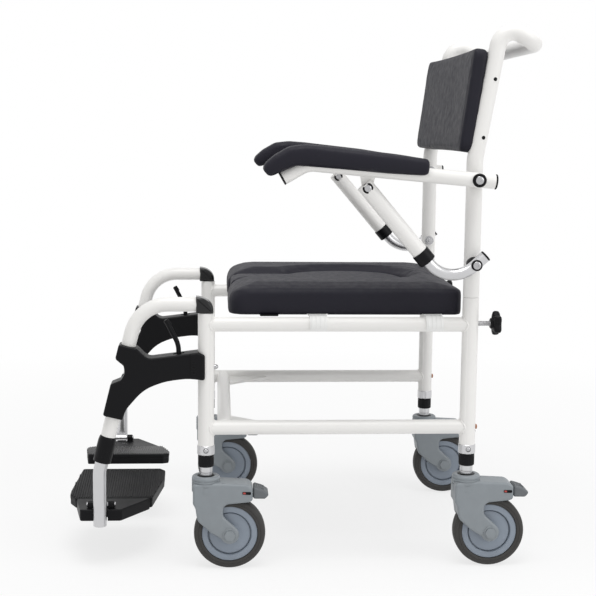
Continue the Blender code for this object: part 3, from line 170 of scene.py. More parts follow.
# Footrests
HANGER_RADIUS = 0.0125
HANGER_Z = 0.4645
HANGER_REACH = 0.1149
HANGER_RAKE = math.radians(13.9)
HANGER_BEND = 0.064
HANGER_END_Z = 0.371
ELBOW_FRONT = 0.0172
ELBOW_REAR = 0.0125
ELBOW_TOP_Z = 0.4785
ELBOW_HALF_WIDTH = 0.015
BRACKET_HALF_WIDTH = 0.019
LEVER_X = FRONT_POST_X - 0.047
LEVER_Z = 0.370
FOOT_SET_BACK = 0.0035
FOOT_UPPER_RADIUS = 0.0128
FOOT_TUBE_RADIUS = 0.0115
FOOT_TOP_Z = 0.309
FOOT_BOTTOM_Z = 0.075
KNUCKLE_TOP_Z = 0.234
KNUCKLE_BOTTOM_Z = 0.190
FOOT_BEND_Z = 0.172
FOOT_BEND = 0.050
FOOT_NOTCH = 0.018
HINGE_Y = -HALF_TRACK + 0.0235
HINGE_Z = 0.1065
PLATE_INNER_Y = 0.020
PLATE_BOUNDARY_Y = 0.155
PLATE_OUTER_Y = 0.2225
PLATE_INNER_Z = 0.120
PLATE_OUTER_Z = 0.1015
PLATE_FRONT = 0.062
PLATE_REAR = 0.105
BLOCK_HALF = 0.0355
BLOCK_DEPTH = 0.021
PLATE_THICKNESS = 0.009
PLATE_EAR = 0.0110
HEEL_CUT = 0.010
HEEL_RUN = 0.045
HEEL_TAPER = 0.0185
TOE_TAPER = 0.012
TOE_RUN = 0.018
RIB_PITCH = 0.0042
RIB_RADIUS = 0.0013
LIP_DEPTH = 0.019
LIP_OUTER = 0.994
LIP_INNER = 0.93
RIB_MARGIN = 0.0050

# Seat
SEAT_FRONT_X = -0.127
SEAT_REAR_X = 0.277
SEAT_HALF_WIDTH = 0.212
SEAT_CORNER = 0.045
SEAT_BOTTOM_Z = 0.4535
SEAT_MOUTH = 0.015
# Inset from the sides, inset from the front, growth of the hole, height above the board; below the board
# only the outer rim goes down, as a skirt round the board
SEAT_LEVELS = (
    (0.0115, 0.0115, 0.0040, 0.0),
    (0.0110, 0.0110, 0.0040, -0.0095),
    (0.0085, 0.0085, 0.0035, -0.0105),
    (0.0025, 0.0025, 0.0030, -0.0105),
    (0.0, 0.0, 0.0010, -0.0080),
    (0.0, 0.0, 0.0, 0.0060),
    (0.0, 0.0005, 0.0, 0.0140),
    (0.0, 0.0030, 0.0, 0.0210),
    (0.0, 0.0075, 0.0, 0.0265),
    (0.0006, 0.0115, 0.0012, 0.0300),
    (0.0026, 0.0155, 0.0040, 0.0326),
    (0.0090, 0.0225, 0.0090, 0.0350),
    (0.0240, 0.0340, 0.0160, 0.0388),
    (0.0450, 0.0500, 0.0240, 0.0425),
)
SEAT_REAR_REACH = 0.0055
PAD_FRONT_CORNER = 0.030
PAD_REAR_CORNER = 0.016
BOARD_POCKET = 0.0125
CHANNEL_HALF_WIDTH = 0.050
HOLE_HALF_WIDTH = 0.102
HOLE_FRONT_X = -0.035
HOLE_REAR_X = 0.215
HOLE_STEPS = 64
INSERT_LEVELS = ((0.0040, 0.0), (0.0, 0.0060), (0.0004, 0.0150), (0.0, 0.0230),
                 (0.0012, 0.0270), (0.0050, 0.0305), (0.0120, 0.0330), (0.0260, 0.0345))
INSERT_SET_BACK = 0.006
INSERT_CLEAR = 0.0040
BASE_THICKNESS = 0.0075
BASE_INSET = 0.016
LEDGE = 0.012
CLIP_POSITIONS = (0.028, 0.229)
CLIP_LENGTH = 0.030
CLIP_WALL = 0.0028
CLIP_OPENING = 40        # degrees that the ring reaches past half round, on each side
CLIP_RIDGES = 4
BUMPER_X = -0.056
BUMPER_LENGTH = 0.032
BUMPER_INSET = 0.0070

# Pads
PAD_CORNER_MIN = 0.004
PAD_DRAW_IN = 0.0012
BACK_HEIGHT = 0.176
BACK_CORNER = 0.020
BACK_CORE_LEVELS = ((0.0040, 0.0), (0.0, 0.0060), (0.0, 0.0220), (0.0040, 0.0260))
BACK_WING_HALF_WIDTH = 0.240
BACK_WING_CORNER = 0.014
BACK_WING_LEVELS = ((0.0045, 0.0155), (0.0012, 0.0172), (0.0, 0.0200), (0.0, 0.0360), (0.0010, 0.0384),
                    (0.0030, 0.0396), (0.0090, 0.0400), (0.0250, 0.0402))
BACK_HOLLOW = 0.0050
ARM_PAD_ASIDE = 0.0085
ARM_PAD_RING = 48
ARM_PAD_SQUARE = 0.55
# Along the rail from its bend, above its axis, nose-down pitch in degrees, half height and half width
ARM_PAD_STATIONS = (
    (-0.2020, 0.0130, 0, 0.0112, 0.0200),
    (-0.1980, 0.0132, 0, 0.0142, 0.0224),
    (-0.1680, 0.0133, 0, 0.0156, 0.0230),
    (-0.0550, 0.0142, 0, 0.0168, 0.0230),
    (0.0030, 0.0145, 2, 0.0180, 0.0230),
    (0.0270, 0.0104, 22, 0.0172, 0.0230),
    (0.0480, -0.0024, 40, 0.0152, 0.0222),
    (0.0620, -0.0145, 44, 0.0132, 0.0208),
    (0.0690, -0.0214, 46, 0.0088, 0.0175),
)
PAD_VOXEL = 0.004
PAD_SHRINK = 0.0012
PAD_FRAMES = 20
PAD_PRESSURE = 4.0
PAD_CAP = 0.0010
PAD_HOLD = 0.0010
PAD_EASE = 1

# Camera, from the photograph
CAMERA_PLACE = (-0.1448, -2.3818, 0.7631)
CAMERA_YAW = math.radians(3.66)
CAMERA_PITCH = math.radians(7.59)
CAMERA_ROLL = math.radians(0.60)
FOCAL_PIXELS = 1267
PHOTO_PIXELS = 596
SENSOR = 36

# Studio
OBJECT_MIDDLE = (0.0, 0.0, 0.45)
KEY_PLACE = (-0.1, -0.9, 3.8)
KEY_SIZE = 2.2
KEY_POWER = 62
FILL_PLACE = (2.4, -1.6, 1.6)
FILL_SIZE = 2.0
FILL_POWER = 18
WORLD_LEVEL = 0.60
FLOOR_RADIUS = 40
FLOOR_GLOW = 0.74
SHADOW_NEAR = 0.7
SHADOW_FAR = 2.0
FLOOR_PAINT = (0.90, 0.90, 0.90, 1.0)


def finished(bm):
    """Mesh of one closed shell, facing out."""
    bmesh.ops.recalc_face_normals(bm, faces=bm.faces)
    if bm.calc_volume(signed=True) < 0.0:
        bmesh.ops.reverse_faces(bm, faces=bm.faces)
    mesh = bpy.data.meshes.new("shell")
    bm.to_mesh(mesh)
    bm.free()
    return mesh


def joined(*meshes):
    bm = bmesh.new()
    for mesh in meshes:
        bm.from_mesh(mesh)
    made = bpy.data.meshes.new("shells")
    bm.to_mesh(made)
    bm.free()
    return made


def moved(mesh, *shift):
    """Copy of the mesh, shifted by x, y and z."""
    made = mesh.copy()
    made.transform(Matrix.Translation(shift))
    return made


def mirrored(mesh):
    made = mesh.copy()
    made.transform(Matrix.Diagonal((1.0, -1.0, 1.0, 1.0)))
    made.flip_normals()
    return made


def linked(name, mesh):
    item = bpy.data.objects.new(name, mesh)
    bpy.context.scene.collection.objects.link(item)
    return item


def evaluated(item):
    bpy.context.view_layer.update()
    depsgraph = bpy.context.evaluated_depsgraph_get()
    return bpy.data.meshes.new_from_object(item.evaluated_get(depsgraph))


def boolean(base, tools, operation):
    item = linked("base", base)
    for tool in tools:
        other = linked("tool", tool)
        step = item.modifiers.new("boolean", "BOOLEAN")
        step.operation = operation
        step.solver = "EXACT"
        step.object = other
        item.data = evaluated(item)
        item.modifiers.clear()
        bpy.data.objects.remove(other)
    mesh = item.data
    bpy.data.objects.remove(item)
    return mesh


def unite(base, *tools):
    return boolean(base, tools, "UNION")


def cut(base, *tools):
    return boolean(base, tools, "DIFFERENCE")


def loft(rings, closed=False):
    """Skin over rings of as many points each, capped at its ends or closed on itself."""
    bm = bmesh.new()
    loops = [[bm.verts.new(point) for point in ring] for ring in rings]
    count = len(loops[0])
    for lower, upper in zip(loops, loops[1:] + loops[:1] if closed else loops[1:]):
        for index in range(count):
            after = (index + 1) % count
            bm.faces.new((lower[index], lower[after], upper[after], upper[index])).smooth = True
    if not closed:
        bm.faces.new(loops[0])
        bm.faces.new(loops[-1])
    return finished(bm)


def tube(path, radius, sides=SIDES, edge=0.0006):
    """Round bar along a path, its ends chamfered by edge."""
    path = [Vector(point) for point in path]
    start = (path[1] - path[0]).normalized() * edge
    end = (path[-2] - path[-1]).normalized() * edge
    path = [path[0], path[0] + start, *path[1:-1], path[-1] + end, path[-1]]
    radii = [radius - edge, *[radius] * (len(path) - 2), radius - edge]
    rings = []
    heading = side = None
    for index, (point, reach) in enumerate(zip(path, radii)):
        before, after = path[max(index - 1, 0)], path[min(index + 1, len(path) - 1)]
        tangent = (after - before).normalized()
        side = heading.rotation_difference(tangent) @ side if heading else tangent.orthogonal().normalized()
        heading = tangent
        across = tangent.cross(side)
        turns = [2 * math.pi * step / sides for step in range(sides)]
        rings.append([point + (side * math.cos(turn) + across * math.sin(turn)) * reach for turn in turns])
    return loft(rings)


def turned(profile, place=Matrix(), sides=SIDES, closed=False, flutes=0):
    """Solid of revolution about Z of (radius, height) or, for fluted stretches, (radius, height, depth)."""
    rings = []
    for radius, height, *depth in profile:
        ring = []
        for step in range(sides):
            turn = 2 * math.pi * step / sides
            reach = radius - sum(depth) * (0.5 - 0.5 * math.cos(flutes * turn))
            ring.append(place @ Vector((reach * math.cos(turn), reach * math.sin(turn), height)))
        rings.append(ring)
    return loft(rings, closed)


def both_faces(profile):
    """The profile and its mirror image below, as one loop."""
    return [*profile, *((radius, -height) for radius, height in reversed(profile))]


def along(start, direction):
    """Place whose Z points along the direction."""
    turn = Vector(direction).to_track_quat("Z", "Y").to_matrix().to_4x4()
    return Matrix.Translation(start) @ turn


def sheet(outline, low, high, place=Matrix(), edge=0.0008, segments=2):
    """Outline in XY from low to high, its rims rounded by edge, moved by place."""
    points = [Vector(point) for point in outline]
    after = points[1:] + points[:1]
    if sum(here.x * there.y - there.x * here.y for here, there in zip(points, after)) < 0.0:
        points.reverse()
        after = points[1:] + points[:1]
    inward = []
    for index, (point, following) in enumerate(zip(points, after)):
        coming = (point - points[index - 1]).normalized()
        going = (following - point).normalized()
        inward.append(Vector((-coming.y - going.y, coming.x + going.x)) / (1.0 + coming.dot(going)))
    turns = [math.pi / 2 * step / segments for step in range(segments + 1)]
    rims = [(edge * (1.0 - math.sin(turn)), edge * (1.0 - math.cos(turn))) for turn in turns]
    levels = [(inset, low + rise) for inset, rise in rims]
    levels += [(inset, high - rise) for inset, rise in reversed(rims)]
    rings = []
    for inset, z in levels:
        flat = [point + way * inset for point, way in zip(points, inward)]
        rings.append([place @ Vector((point.x, point.y, z)) for point in flat])
    return loft(rings)


def block(low, high, edge=0.0008):
    """Box with rounded edges."""
    low, high = Vector(low), Vector(high)
    bm = bmesh.new()
    size = Matrix.Diagonal((*(high - low), 1.0))
    bmesh.ops.create_cube(bm, size=1.0, matrix=Matrix.Translation((low + high) / 2) @ size)
    bmesh.ops.bevel(bm, geom=bm.edges[:], offset=edge, segments=2, profile=0.5, affect="EDGES")
    for face in bm.faces:
        face.smooth = True
    return finished(bm)


def upright(y):
    """Puts an XY outline in the XZ plane at y."""
    return Matrix.Translation((0.0, y, 0.0)) @ Matrix.Rotation(QUARTER, 4, "X")


def crosswise(x, y=0.0, z=0.0):
    """Puts an XY outline in the YZ plane at x."""
    turn = Matrix.Rotation(QUARTER, 4, "Z") @ Matrix.Rotation(QUARTER, 4, "X")
    return Matrix.Translation((x, y, z)) @ turn


def fillet(before, corner, after, radius):
    """Points of a flat corner turned into an arc, as wide as its neighbours allow."""
    corner = Vector(corner)
    back, on = Vector(before) - corner, Vector(after) - corner
    turn = math.pi - back.angle(on)
    if not radius or turn < LEAST_TURN:
        return [corner]
    reach = min(radius * math.tan(turn / 2), 0.48 * back.length, 0.48 * on.length)
    bend = reach / math.tan(turn / 2)
    back.normalize()
    on.normalize()
    centre = corner + (back + on).normalized() * bend / math.cos(turn / 2)
    first = corner + back * reach - centre
    sweep = math.copysign(turn, back.y * on.x - back.x * on.y)
    steps = max(2, math.ceil(turn / BEND_STEP))
    return [centre + Matrix.Rotation(sweep * step / steps, 2) @ first for step in range(steps + 1)]


def outlined(points, radii):
    """Closed outline with each corner rounded to its radius."""
    count = len(points)
    outline = []
    for index, radius in enumerate(radii):
        outline += fillet(points[index - 1], points[index], points[(index + 1) % count], radius)
    return outline


def rounded(points, radii):
    """Open path with each inner corner turned into a true arc of its radius."""
    path = [Vector(points[0])]
    for before, corner, after, radius in zip(points, points[1:], points[2:], radii):
        corner = Vector(corner)
        back = (Vector(before) - corner).normalized()
        on = (Vector(after) - corner).normalized()
        turn = math.pi - back.angle(on)
        centre = corner + (back + on).normalized() * radius / math.cos(turn / 2)
        first = corner + back * radius * math.tan(turn / 2) - centre
        axis = back.cross(on)
        steps = max(2, math.ceil(turn / BEND_STEP))
        for index in range(steps + 1):
            path.append(centre + Matrix.Rotation(-turn * index / steps, 3, axis) @ first)
    path.append(Vector(points[-1]))
    return path


def arc(centre, radius, start, end, steps):
    """Points on an arc, angles in degrees."""
    turns = [math.radians(start + (end - start) * step / steps) for step in range(steps + 1)]
    return [(centre[0] + radius * math.cos(turn), centre[1] + radius * math.sin(turn)) for turn in turns]


COLOUR_A, COLOUR_B, COLOUR_OUT = 6, 7, 2      # sockets of a mix of colours


def added(nodes, kind, **values):
    """New shader node with its sockets set; _ in their names stands for a space."""
    made = nodes.new("ShaderNode" + kind)
    for socket, value in values.items():
        made.inputs[socket.replace("_", " ")].default_value = value
    return made


def colour_mix(nodes, links, share, darker, lighter):
    """Colour between two others; a colour may be a value or come from another node."""
    made = added(nodes, "Mix")
    made.data_type = "RGBA"
    links.new(share, made.inputs[0])
    for socket, colour in ((COLOUR_A, darker), (COLOUR_B, lighter)):
        if isinstance(colour, bpy.types.NodeSocket):
            links.new(colour, made.inputs[socket])
        else:
            made.inputs[socket].default_value = (*colour, 1.0)
    return made.outputs[COLOUR_OUT]


def look(name, colour, roughness, metallic=0.0, mottle=0.05, mottle_scale=16.0, grain="noise",
         grain_scale=900.0, grain_depth=0.0001, strength=0.25, stretch=(1.0, 1.0, 1.0), edge=0.0,
         specular=0.5):
    """Principled material: mottled colour and roughness, a fine relief, and a painted highlight that
    lightens the colour along edges.
    """
    made = bpy.data.materials.new(name)
    made.use_nodes = True
    nodes, links = made.node_tree.nodes, made.node_tree.links
    shader = nodes["Principled BSDF"]
    shader.inputs["Metallic"].default_value = metallic
    shader.inputs["Specular IOR Level"].default_value = specular
    place = added(nodes, "TexCoord").outputs["Object"]

    blotch = added(nodes, "TexNoise", Scale=mottle_scale, Detail=5.0)
    links.new(place, blotch.inputs["Vector"])
    darker = [value * (1 - mottle) for value in colour]
    lighter = [min(1.0, value * (1 + mottle)) for value in colour]
    shade = colour_mix(nodes, links, blotch.outputs["Fac"], darker, lighter)
    gloss = added(nodes, "MapRange", From_Min=0.3, From_Max=0.7, To_Min=roughness * 0.88,
                  To_Max=min(1.0, roughness * 1.12))
    links.new(blotch.outputs["Fac"], gloss.inputs["Value"])
    links.new(gloss.outputs["Result"], shader.inputs["Roughness"])

    scaled = added(nodes, "Mapping", Scale=stretch)
    links.new(place, scaled.inputs["Vector"])
    kind, output = {"noise": ("TexNoise", "Fac"), "cells": ("TexVoronoi", "Distance")}[grain]
    relief = added(nodes, kind, Scale=grain_scale)
    links.new(scaled.outputs["Vector"], relief.inputs["Vector"])
    bump = added(nodes, "Bump", Strength=strength, Distance=grain_depth)
    links.new(relief.outputs[output], bump.inputs["Height"])
    links.new(bump.outputs["Normal"], shader.inputs["Normal"])

    # Painted highlight: the colour is lightened on edges, where the bevelled normal turns away from the true
    # normal; edge sets how far.
    if edge:
        soft = added(nodes, "Bevel", Radius=0.0012)
        soft.samples = 4
        lean = added(nodes, "VectorMath")
        lean.operation = "DOT_PRODUCT"
        links.new(soft.outputs["Normal"], lean.inputs[0])
        links.new(added(nodes, "NewGeometry").outputs["Normal"], lean.inputs[1])
        painted_highlight_mask = added(nodes, "MapRange", From_Min=1.0, From_Max=0.85, To_Max=edge)
        links.new(lean.outputs["Value"], painted_highlight_mask.inputs["Value"])
        edge_highlight_colour = [0.6 * value + 0.25 for value in colour]
        shade = colour_mix(nodes, links, painted_highlight_mask.outputs["Result"], shade, edge_highlight_colour)
    links.new(shade, shader.inputs["Base Color"])
    return made


WHITE = (0.86, 0.85, 0.83)
CHARCOAL = (0.0130, 0.0124, 0.0195)
# An edge value below sets how strongly the painted highlight lightens that look's edges.
LOOKS = {
    "powder_coat": look("warm_white_powder_coat", WHITE, 0.36, mottle=0.02, mottle_scale=9.0,
                        grain_scale=1300.0, strength=0.12),
    "satin_aluminium": look("drawn_aluminium", (0.60, 0.60, 0.61), 0.32, metallic=1.0, mottle=0.05,
                            mottle_scale=30.0, grain_scale=700.0, strength=0.10, stretch=(1.0, 1.0, 0.06)),
    "black_plastic": look("moulded_black", (0.0036, 0.0036, 0.0046), 0.40, mottle=0.18, grain="cells",
                          grain_scale=1100.0, strength=0.22, edge=0.04, specular=0.15),
    "grey_plastic": look("moulded_grey", (0.245, 0.27, 0.29), 0.46, mottle=0.09, mottle_scale=60.0,
                         grain="cells", grain_scale=1100.0, strength=0.20, edge=0.14),
    "pedal_plastic": look("pebbled_grey", (0.13, 0.14, 0.15), 0.58, mottle=0.12, mottle_scale=60.0,
                          grain="cells", grain_scale=700.0, grain_depth=0.0003, strength=0.5, edge=0.12),
    "tyre_rubber": look("tread_rubber", (0.038, 0.036, 0.034), 0.72, mottle=0.12, mottle_scale=24.0,
                        grain_scale=1400.0, strength=0.30),
    "charcoal_foam": look("skinned_foam", CHARCOAL, 0.56, mottle=0.10, mottle_scale=90.0, grain="cells",
                          grain_scale=560.0, grain_depth=0.0003, strength=0.4, specular=0.20),
    "zinc_steel": look("bright_zinc", (0.46, 0.46, 0.47), 0.26, metallic=1.0, mottle=0.06, mottle_scale=90.0,
                       grain_scale=1600.0, strength=0.08),
    "white_plastic": look("moulded_white", (0.84, 0.84, 0.83), 0.44, mottle=0.02, grain="cells",
                          grain_scale=1200.0, strength=0.10),
}
RIM_GREY = look("wheel_grey", (0.25, 0.29, 0.345), 0.42, mottle=0.07, mottle_scale=40.0, grain="cells",
                grain_scale=1500.0, strength=0.12, edge=0.15)
GLOSS_BLACK = look("polished_black", (0.004, 0.004, 0.005), 0.20, mottle=0.15, grain_scale=1300.0,
                   strength=0.10, edge=0.05, specular=0.42)
AMBER = look("amber_plug", (0.36, 0.13, 0.05), 0.40, mottle=0.10, grain_scale=1500.0)
RED_MARK = look("red_mark", (0.45, 0.05, 0.04), 0.5, mottle=0.08, grain_scale=1500.0)

SHARP = math.radians(38)


def piece(name, mesh, slot, node=None, body=None, material=None, soft=False):
    """Puts a mesh in the scene on its body, in its slot's look, standing for its node."""
    mesh.materials.clear()
    mesh.materials.append(material or LOOKS[slot])
    item = linked(name, mesh)
    if soft:
        mesh.shade_smooth()
    else:
        mesh.set_sharp_from_angle(angle=SHARP)
        item.modifiers.new("normals", "WEIGHTED_NORMAL").keep_sharp = True
        item.data = evaluated(item)
        item.modifiers.clear()
    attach(item, body or BODY_OF[node])
    if node:
        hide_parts(node)
    return item


def pair(name, mesh, slot, node=None, body=None, right_shift=(0.0, 0.0, 0.0), material=None):
    """A left piece and its mirror on the right, each on its own side's body."""
    right = moved(mirrored(mesh), *right_shift)
    for side, made in (("_left", mesh), ("_right", right)):
        piece(name + side, made, slot, node and node + side, body and body + side, material)


def pair_on(name, mesh, slot, body, material=None):
    """A left piece and its mirror on the right, both on one body."""
    right = mirrored(mesh)
    piece(name + "_left", mesh, slot, body=body, material=material)
    piece(name + "_right", right, slot, body=body, material=material)


def weld(x, z, way):
    """Bead where a rail meets a post, on the side that way points to."""
    rings = []
    for index in range(SIDES):
        turn = 2 * math.pi * index / SIDES
        outward = Vector((0.0, math.cos(turn), math.sin(turn)))
        reach = math.sqrt(POST_RADIUS ** 2 - (RAIL_RADIUS * outward.y) ** 2)
        middle = Vector((x + way * reach, -HALF_TRACK, z)) + outward * RAIL_RADIUS
        off = Vector((way, 0.0, 0.0))
        swell = WELD * (1.0 + WELD_RIPPLE * math.sin(WELD_RIPPLES * turn))
        ring = [math.radians(60 * step) for step in range(6)]
        rings.append([middle + (outward * math.cos(a) + off * math.sin(a)) * swell for a in ring])
    return loft(rings, closed=True)


def side_frame():
    """Two posts and two rails, bored for legs, buttons and knob, with their welds."""
    y = -HALF_TRACK
    tops = {FRONT_POST_X: FRONT_POST_TOP_Z, REAR_POST_X: REAR_POST_TOP_Z}
    posts = [tube([(x, y, POST_BOTTOM_Z), (x, y, top)], POST_RADIUS) for x, top in tops.items()]
    rails = [tube([(FRONT_POST_X, y, z), (REAR_POST_X, y, z)], RAIL_RADIUS) for z in RAIL_HEIGHTS]
    made = unite(posts[0], rails[0], posts[1], rails[1])
    past = POST_RADIUS
    for x, top in tops.items():
        made = cut(made, tube([(x, y, POST_BOTTOM_Z - past), (x, y, top + past)], POST_BORE))
        made = cut(made, tube([(x, y, BUTTON_Z), (x, y - 2 * past, BUTTON_Z)], BUTTON_HOLE, HOLE_SIDES))
    knob_hole = [(REAR_POST_X, y, KNOB_Z), (REAR_POST_X + 2 * past, y, KNOB_Z)]
    made = cut(made, tube(knob_hole, KNOB_HOLE, HOLE_SIDES))
    beads = []
    for z in RAIL_HEIGHTS:
        beads += [weld(FRONT_POST_X, z, 1), weld(REAR_POST_X, z, -1)]
    return joined(made, *beads)


def dome(radius, height):
    """Profile of a domed head that rises from z = 0."""
    rim = height * 0.45
    crown = [(radius * math.cos(a), rim + (height - rim) * math.sin(a)) for a in (0.0, 0.35, 0.7, 1.05, 1.4)]
    return [(radius, 0.0), *crown]


def hexagon(radius, low, high, place):
    """Hexagon head with softened rims."""
    return sheet(arc((0.0, 0.0), radius, 0, 300, 5), low, high, place, edge=0.0007)


def cross_tube():
    half = HALF_TRACK - RAIL_RADIUS / 2
    made = tube([(CROSS_TUBE_X, -half, LOWER_RAIL_Z), (CROSS_TUBE_X, half, LOWER_RAIL_Z)], RAIL_RADIUS)
    plates = []
    for side in (-1, 1):
        inner, outer = CROSS_TUBE_X + RAIL_RADIUS / 4, half - RAIL_RADIUS / 4
        corner = [(inner, side * outer), (CROSS_TUBE_X + GUSSET_ALONG_RAIL, side * outer),
                  (inner, side * (half - GUSSET_ALONG_TUBE))]
        plate = outlined(corner, (0.001, 0.006, 0.006))
        thick = GUSSET_THICKNESS / 2
        plates.append(sheet(plate, LOWER_RAIL_Z - thick, LOWER_RAIL_Z + thick, edge=0.0009))
    return unite(made, *plates)


def leg_tube():
    """Silver leg with a stepped foot and its row of button holes."""
    bottom = FORK_TOP_Z + PLAY
    step, edge = 0.0008, 0.0008
    foot = LEG_RADIUS - step
    profile = [(foot - edge, bottom), (foot, bottom + edge), (foot, bottom + 0.0050),
               (LEG_RADIUS, bottom + 0.0060), (LEG_RADIUS, LEG_TOP_Z - edge), (LEG_RADIUS - edge, LEG_TOP_Z)]
    made = turned(profile)
    for index in range(LEG_HOLES):
        z = BUTTON_Z + index * LEG_HOLE_PITCH
        made = cut(made, tube([(0, -LEG_RADIUS / 2, z), (0, -2 * LEG_RADIUS, z)], BUTTON_HOLE, HOLE_SIDES))
    return made


def leg_collar():
    """Ridged plastic collar under the post."""
    top = POST_BOTTOM_Z - PLAY
    bottom = top - COLLAR_HEIGHT
    inner = LEG_RADIUS + PLAY
    ridge = 0.0007
    edge = 0.0012
    profile = [(inner, top), (COLLAR_RADIUS - edge, top), (COLLAR_RADIUS, top - edge),
               (COLLAR_RADIUS, top - 3 * edge), (COLLAR_RADIUS, top - 3.5 * edge, ridge),
               (COLLAR_RADIUS, bottom + 3.5 * edge, ridge), (COLLAR_RADIUS, bottom + 3 * edge),
               (COLLAR_RADIUS, bottom + edge), (COLLAR_RADIUS - edge, bottom), (inner, bottom)]
    return turned(profile, sides=96, closed=True, flutes=24)


def post_sleeve():
    """Bare metal sleeve round the post's foot, with a hole for the button."""
    inner = POST_RADIUS + 0.00005
    low, high, edge = POST_BOTTOM_Z + 0.0004, SLEEVE_TOP_Z, 0.0006
    profile = [(inner, low), (SLEEVE_RADIUS - edge, low), (SLEEVE_RADIUS, low + edge),
               (SLEEVE_RADIUS, high - edge), (SLEEVE_RADIUS - edge, high), (inner, high)]
    hole = [(0, -POST_RADIUS / 2, BUTTON_Z), (0, -2 * POST_RADIUS, BUTTON_Z)]
    return cut(turned(profile, closed=True), tube(hole, BUTTON_HOLE, HOLE_SIDES))


def height_button():
    place = along((0.0, -LEG_RADIUS - PLAY, BUTTON_Z), OUTWARD)
    return turned(dome(BUTTON_RADIUS, BUTTON_HEIGHT), place, FINE_SIDES)


def fork_outline():
    """Side view of the fork from the stem: front edge, cheek round the axle, brake housing."""
    points = [(-0.0225, 0.1530), (-0.0225, 0.1180), (-0.0180, 0.1100), (-0.0150, 0.0880), (0.0080, 0.0670)]
    radii = [0.006, 0.008, 0.010, 0.020, 0.006]
    lobe = arc((TRAIL, WHEEL_RADIUS), FORK_LOBE, 205, 405, 16)
    rear = [(0.0300, 0.0955), (0.0300, 0.1165), (0.0740, 0.1205), (0.0810, 0.1235), (0.0810, 0.1460),
            (0.0725, 0.1525), (0.0245, 0.1550)]
    rear_radii = [0.010, 0.012, 0.008, 0.006, 0.006, 0.020, 0.010]
    corners = points + lobe + rear
    return outlined(corners, radii + [0.001] * len(lobe) + rear_radii)


def caster_fork():
    """Moulded fork: grooved head, two cheeks round the wheel, housing with a slot for the pedal."""
    made = sheet(fork_outline(), -FORK_HALF_WIDTH, FORK_HALF_WIDTH, upright(0.0), edge=0.0045, segments=4)
    groove = 0.0011
    rim = FORK_TOP_Z - 0.0005
    profile = [(HEAD_RADIUS - 0.0015, 0.1350), (HEAD_RADIUS, 0.1370)]
    for z, depth in ((0.1480, 1.6), (0.1535, 0.8), (0.1580, 0.8)):
        profile += [(HEAD_RADIUS, z - groove), (HEAD_RADIUS - depth * groove, z - groove / 3),
                    (HEAD_RADIUS - depth * groove, z + groove / 3), (HEAD_RADIUS, z + groove)]
    profile += [(HEAD_RADIUS, rim - 0.0035), (HEAD_RADIUS - 0.0008, rim - 0.0015),
                (HEAD_RADIUS - 0.0026, rim), (0.0155, rim), (0.0150, rim - 0.0010)]
    made = unite(made, turned(profile, sides=64))
    room = FORK_HALF_WIDTH - FORK_CHEEK
    middle = [(TRAIL, side * room, WHEEL_RADIUS) for side in (-1, 1)]
    made = cut(made, tube(middle, WHEEL_ROOM, 64))
    slot = TONGUE_HALF_WIDTH + 0.0004
    return cut(made, block((0.0680, -slot, 0.1190), (0.0860, slot, 0.1323), 0.0004))


def stem_seal():
    """Dark ring between the head and the leg."""
    z = FORK_TOP_Z
    inner, outer = LEG_RADIUS - 0.0006, 0.0150
    profile = [(inner, z - 0.0014), (inner, z - 0.0002), (inner + 0.0008, z + 0.0001),
               (outer - 0.0010, z + 0.0001), (outer, z - 0.0006), (outer, z - 0.0014)]
    return turned(profile, closed=True)


def axle_heads():
    """Hexagon heads with a raised boss on both cheeks."""
    heads = []
    for side in (-1, 1):
        place = along((TRAIL, side * FORK_HALF_WIDTH, WHEEL_RADIUS), (0.0, side, 0.0))
        washer = turned([(0.0122, -0.0004), (0.0122, 0.0009), (0.0116, 0.0014)], place, 40)
        heads += [washer, hexagon(AXLE_HEAD, 0.0012, 0.0050, place)]
    return joined(*heads)


def cheek_plates(corners, corner, half, proud, edge):
    """Thin plate on the outer face of each cheek."""
    outline = outlined(corners, [corner] * len(corners))
    return joined(*[sheet(outline, -half, half, upright(side * (FORK_HALF_WIDTH + proud)), edge=edge)
                    for side in (-1, 1)])


def brake_window():
    """Dark indicator window near the housing's end, on both sides."""
    corners = [(0.0630, 0.1355), (0.0780, 0.1350), (0.0780, 0.1400), (0.0630, 0.1405)]
    return cheek_plates(corners, 0.0018, 0.0004, 0.0001, 0.0002)


def brake_tab():
    """Red part of the indicator."""
    corners = [(0.0642, 0.1364), (0.0688, 0.1363), (0.0688, 0.1393), (0.0642, 0.1395)]
    return cheek_plates(corners, 0.0008, 0.0003, 0.0005, 0.0001)


def wheel_ring(half):
    """Ring about the axle whose section is the half profile and its mirror image."""
    return turned(both_faces(half), Matrix.Rotation(QUARTER, 4, "X"), WHEEL_SIDES, closed=True)


def wheel_rim():
    """Disc with a stepped hub, a dished web, a sharp groove and a broad outer ring."""
    half = [(0.0049, 0.0155), (0.0140, 0.0155), (0.0152, 0.0146), (0.0158, 0.0105), (0.0190, 0.0098),
            (0.0340, 0.0098), (0.0356, 0.0092), (0.0360, 0.0060), (0.0375, 0.0060), (0.0378, 0.0118),
            (0.0390, 0.0130), (0.0468, 0.0130), (0.0482, 0.0124), (0.0487, 0.0110)]
    return wheel_ring(half)


def tyre():
    half = [(0.0490, 0.0140), (0.0504, 0.0149), (0.0535, 0.0150), (0.0541, 0.0145), (0.0547, 0.0150),
            (0.0580, 0.0146), (0.0602, 0.0132), (0.0616, 0.0110), (0.0623, 0.0075), (0.0625, 0.0030)]
    return wheel_ring(half)


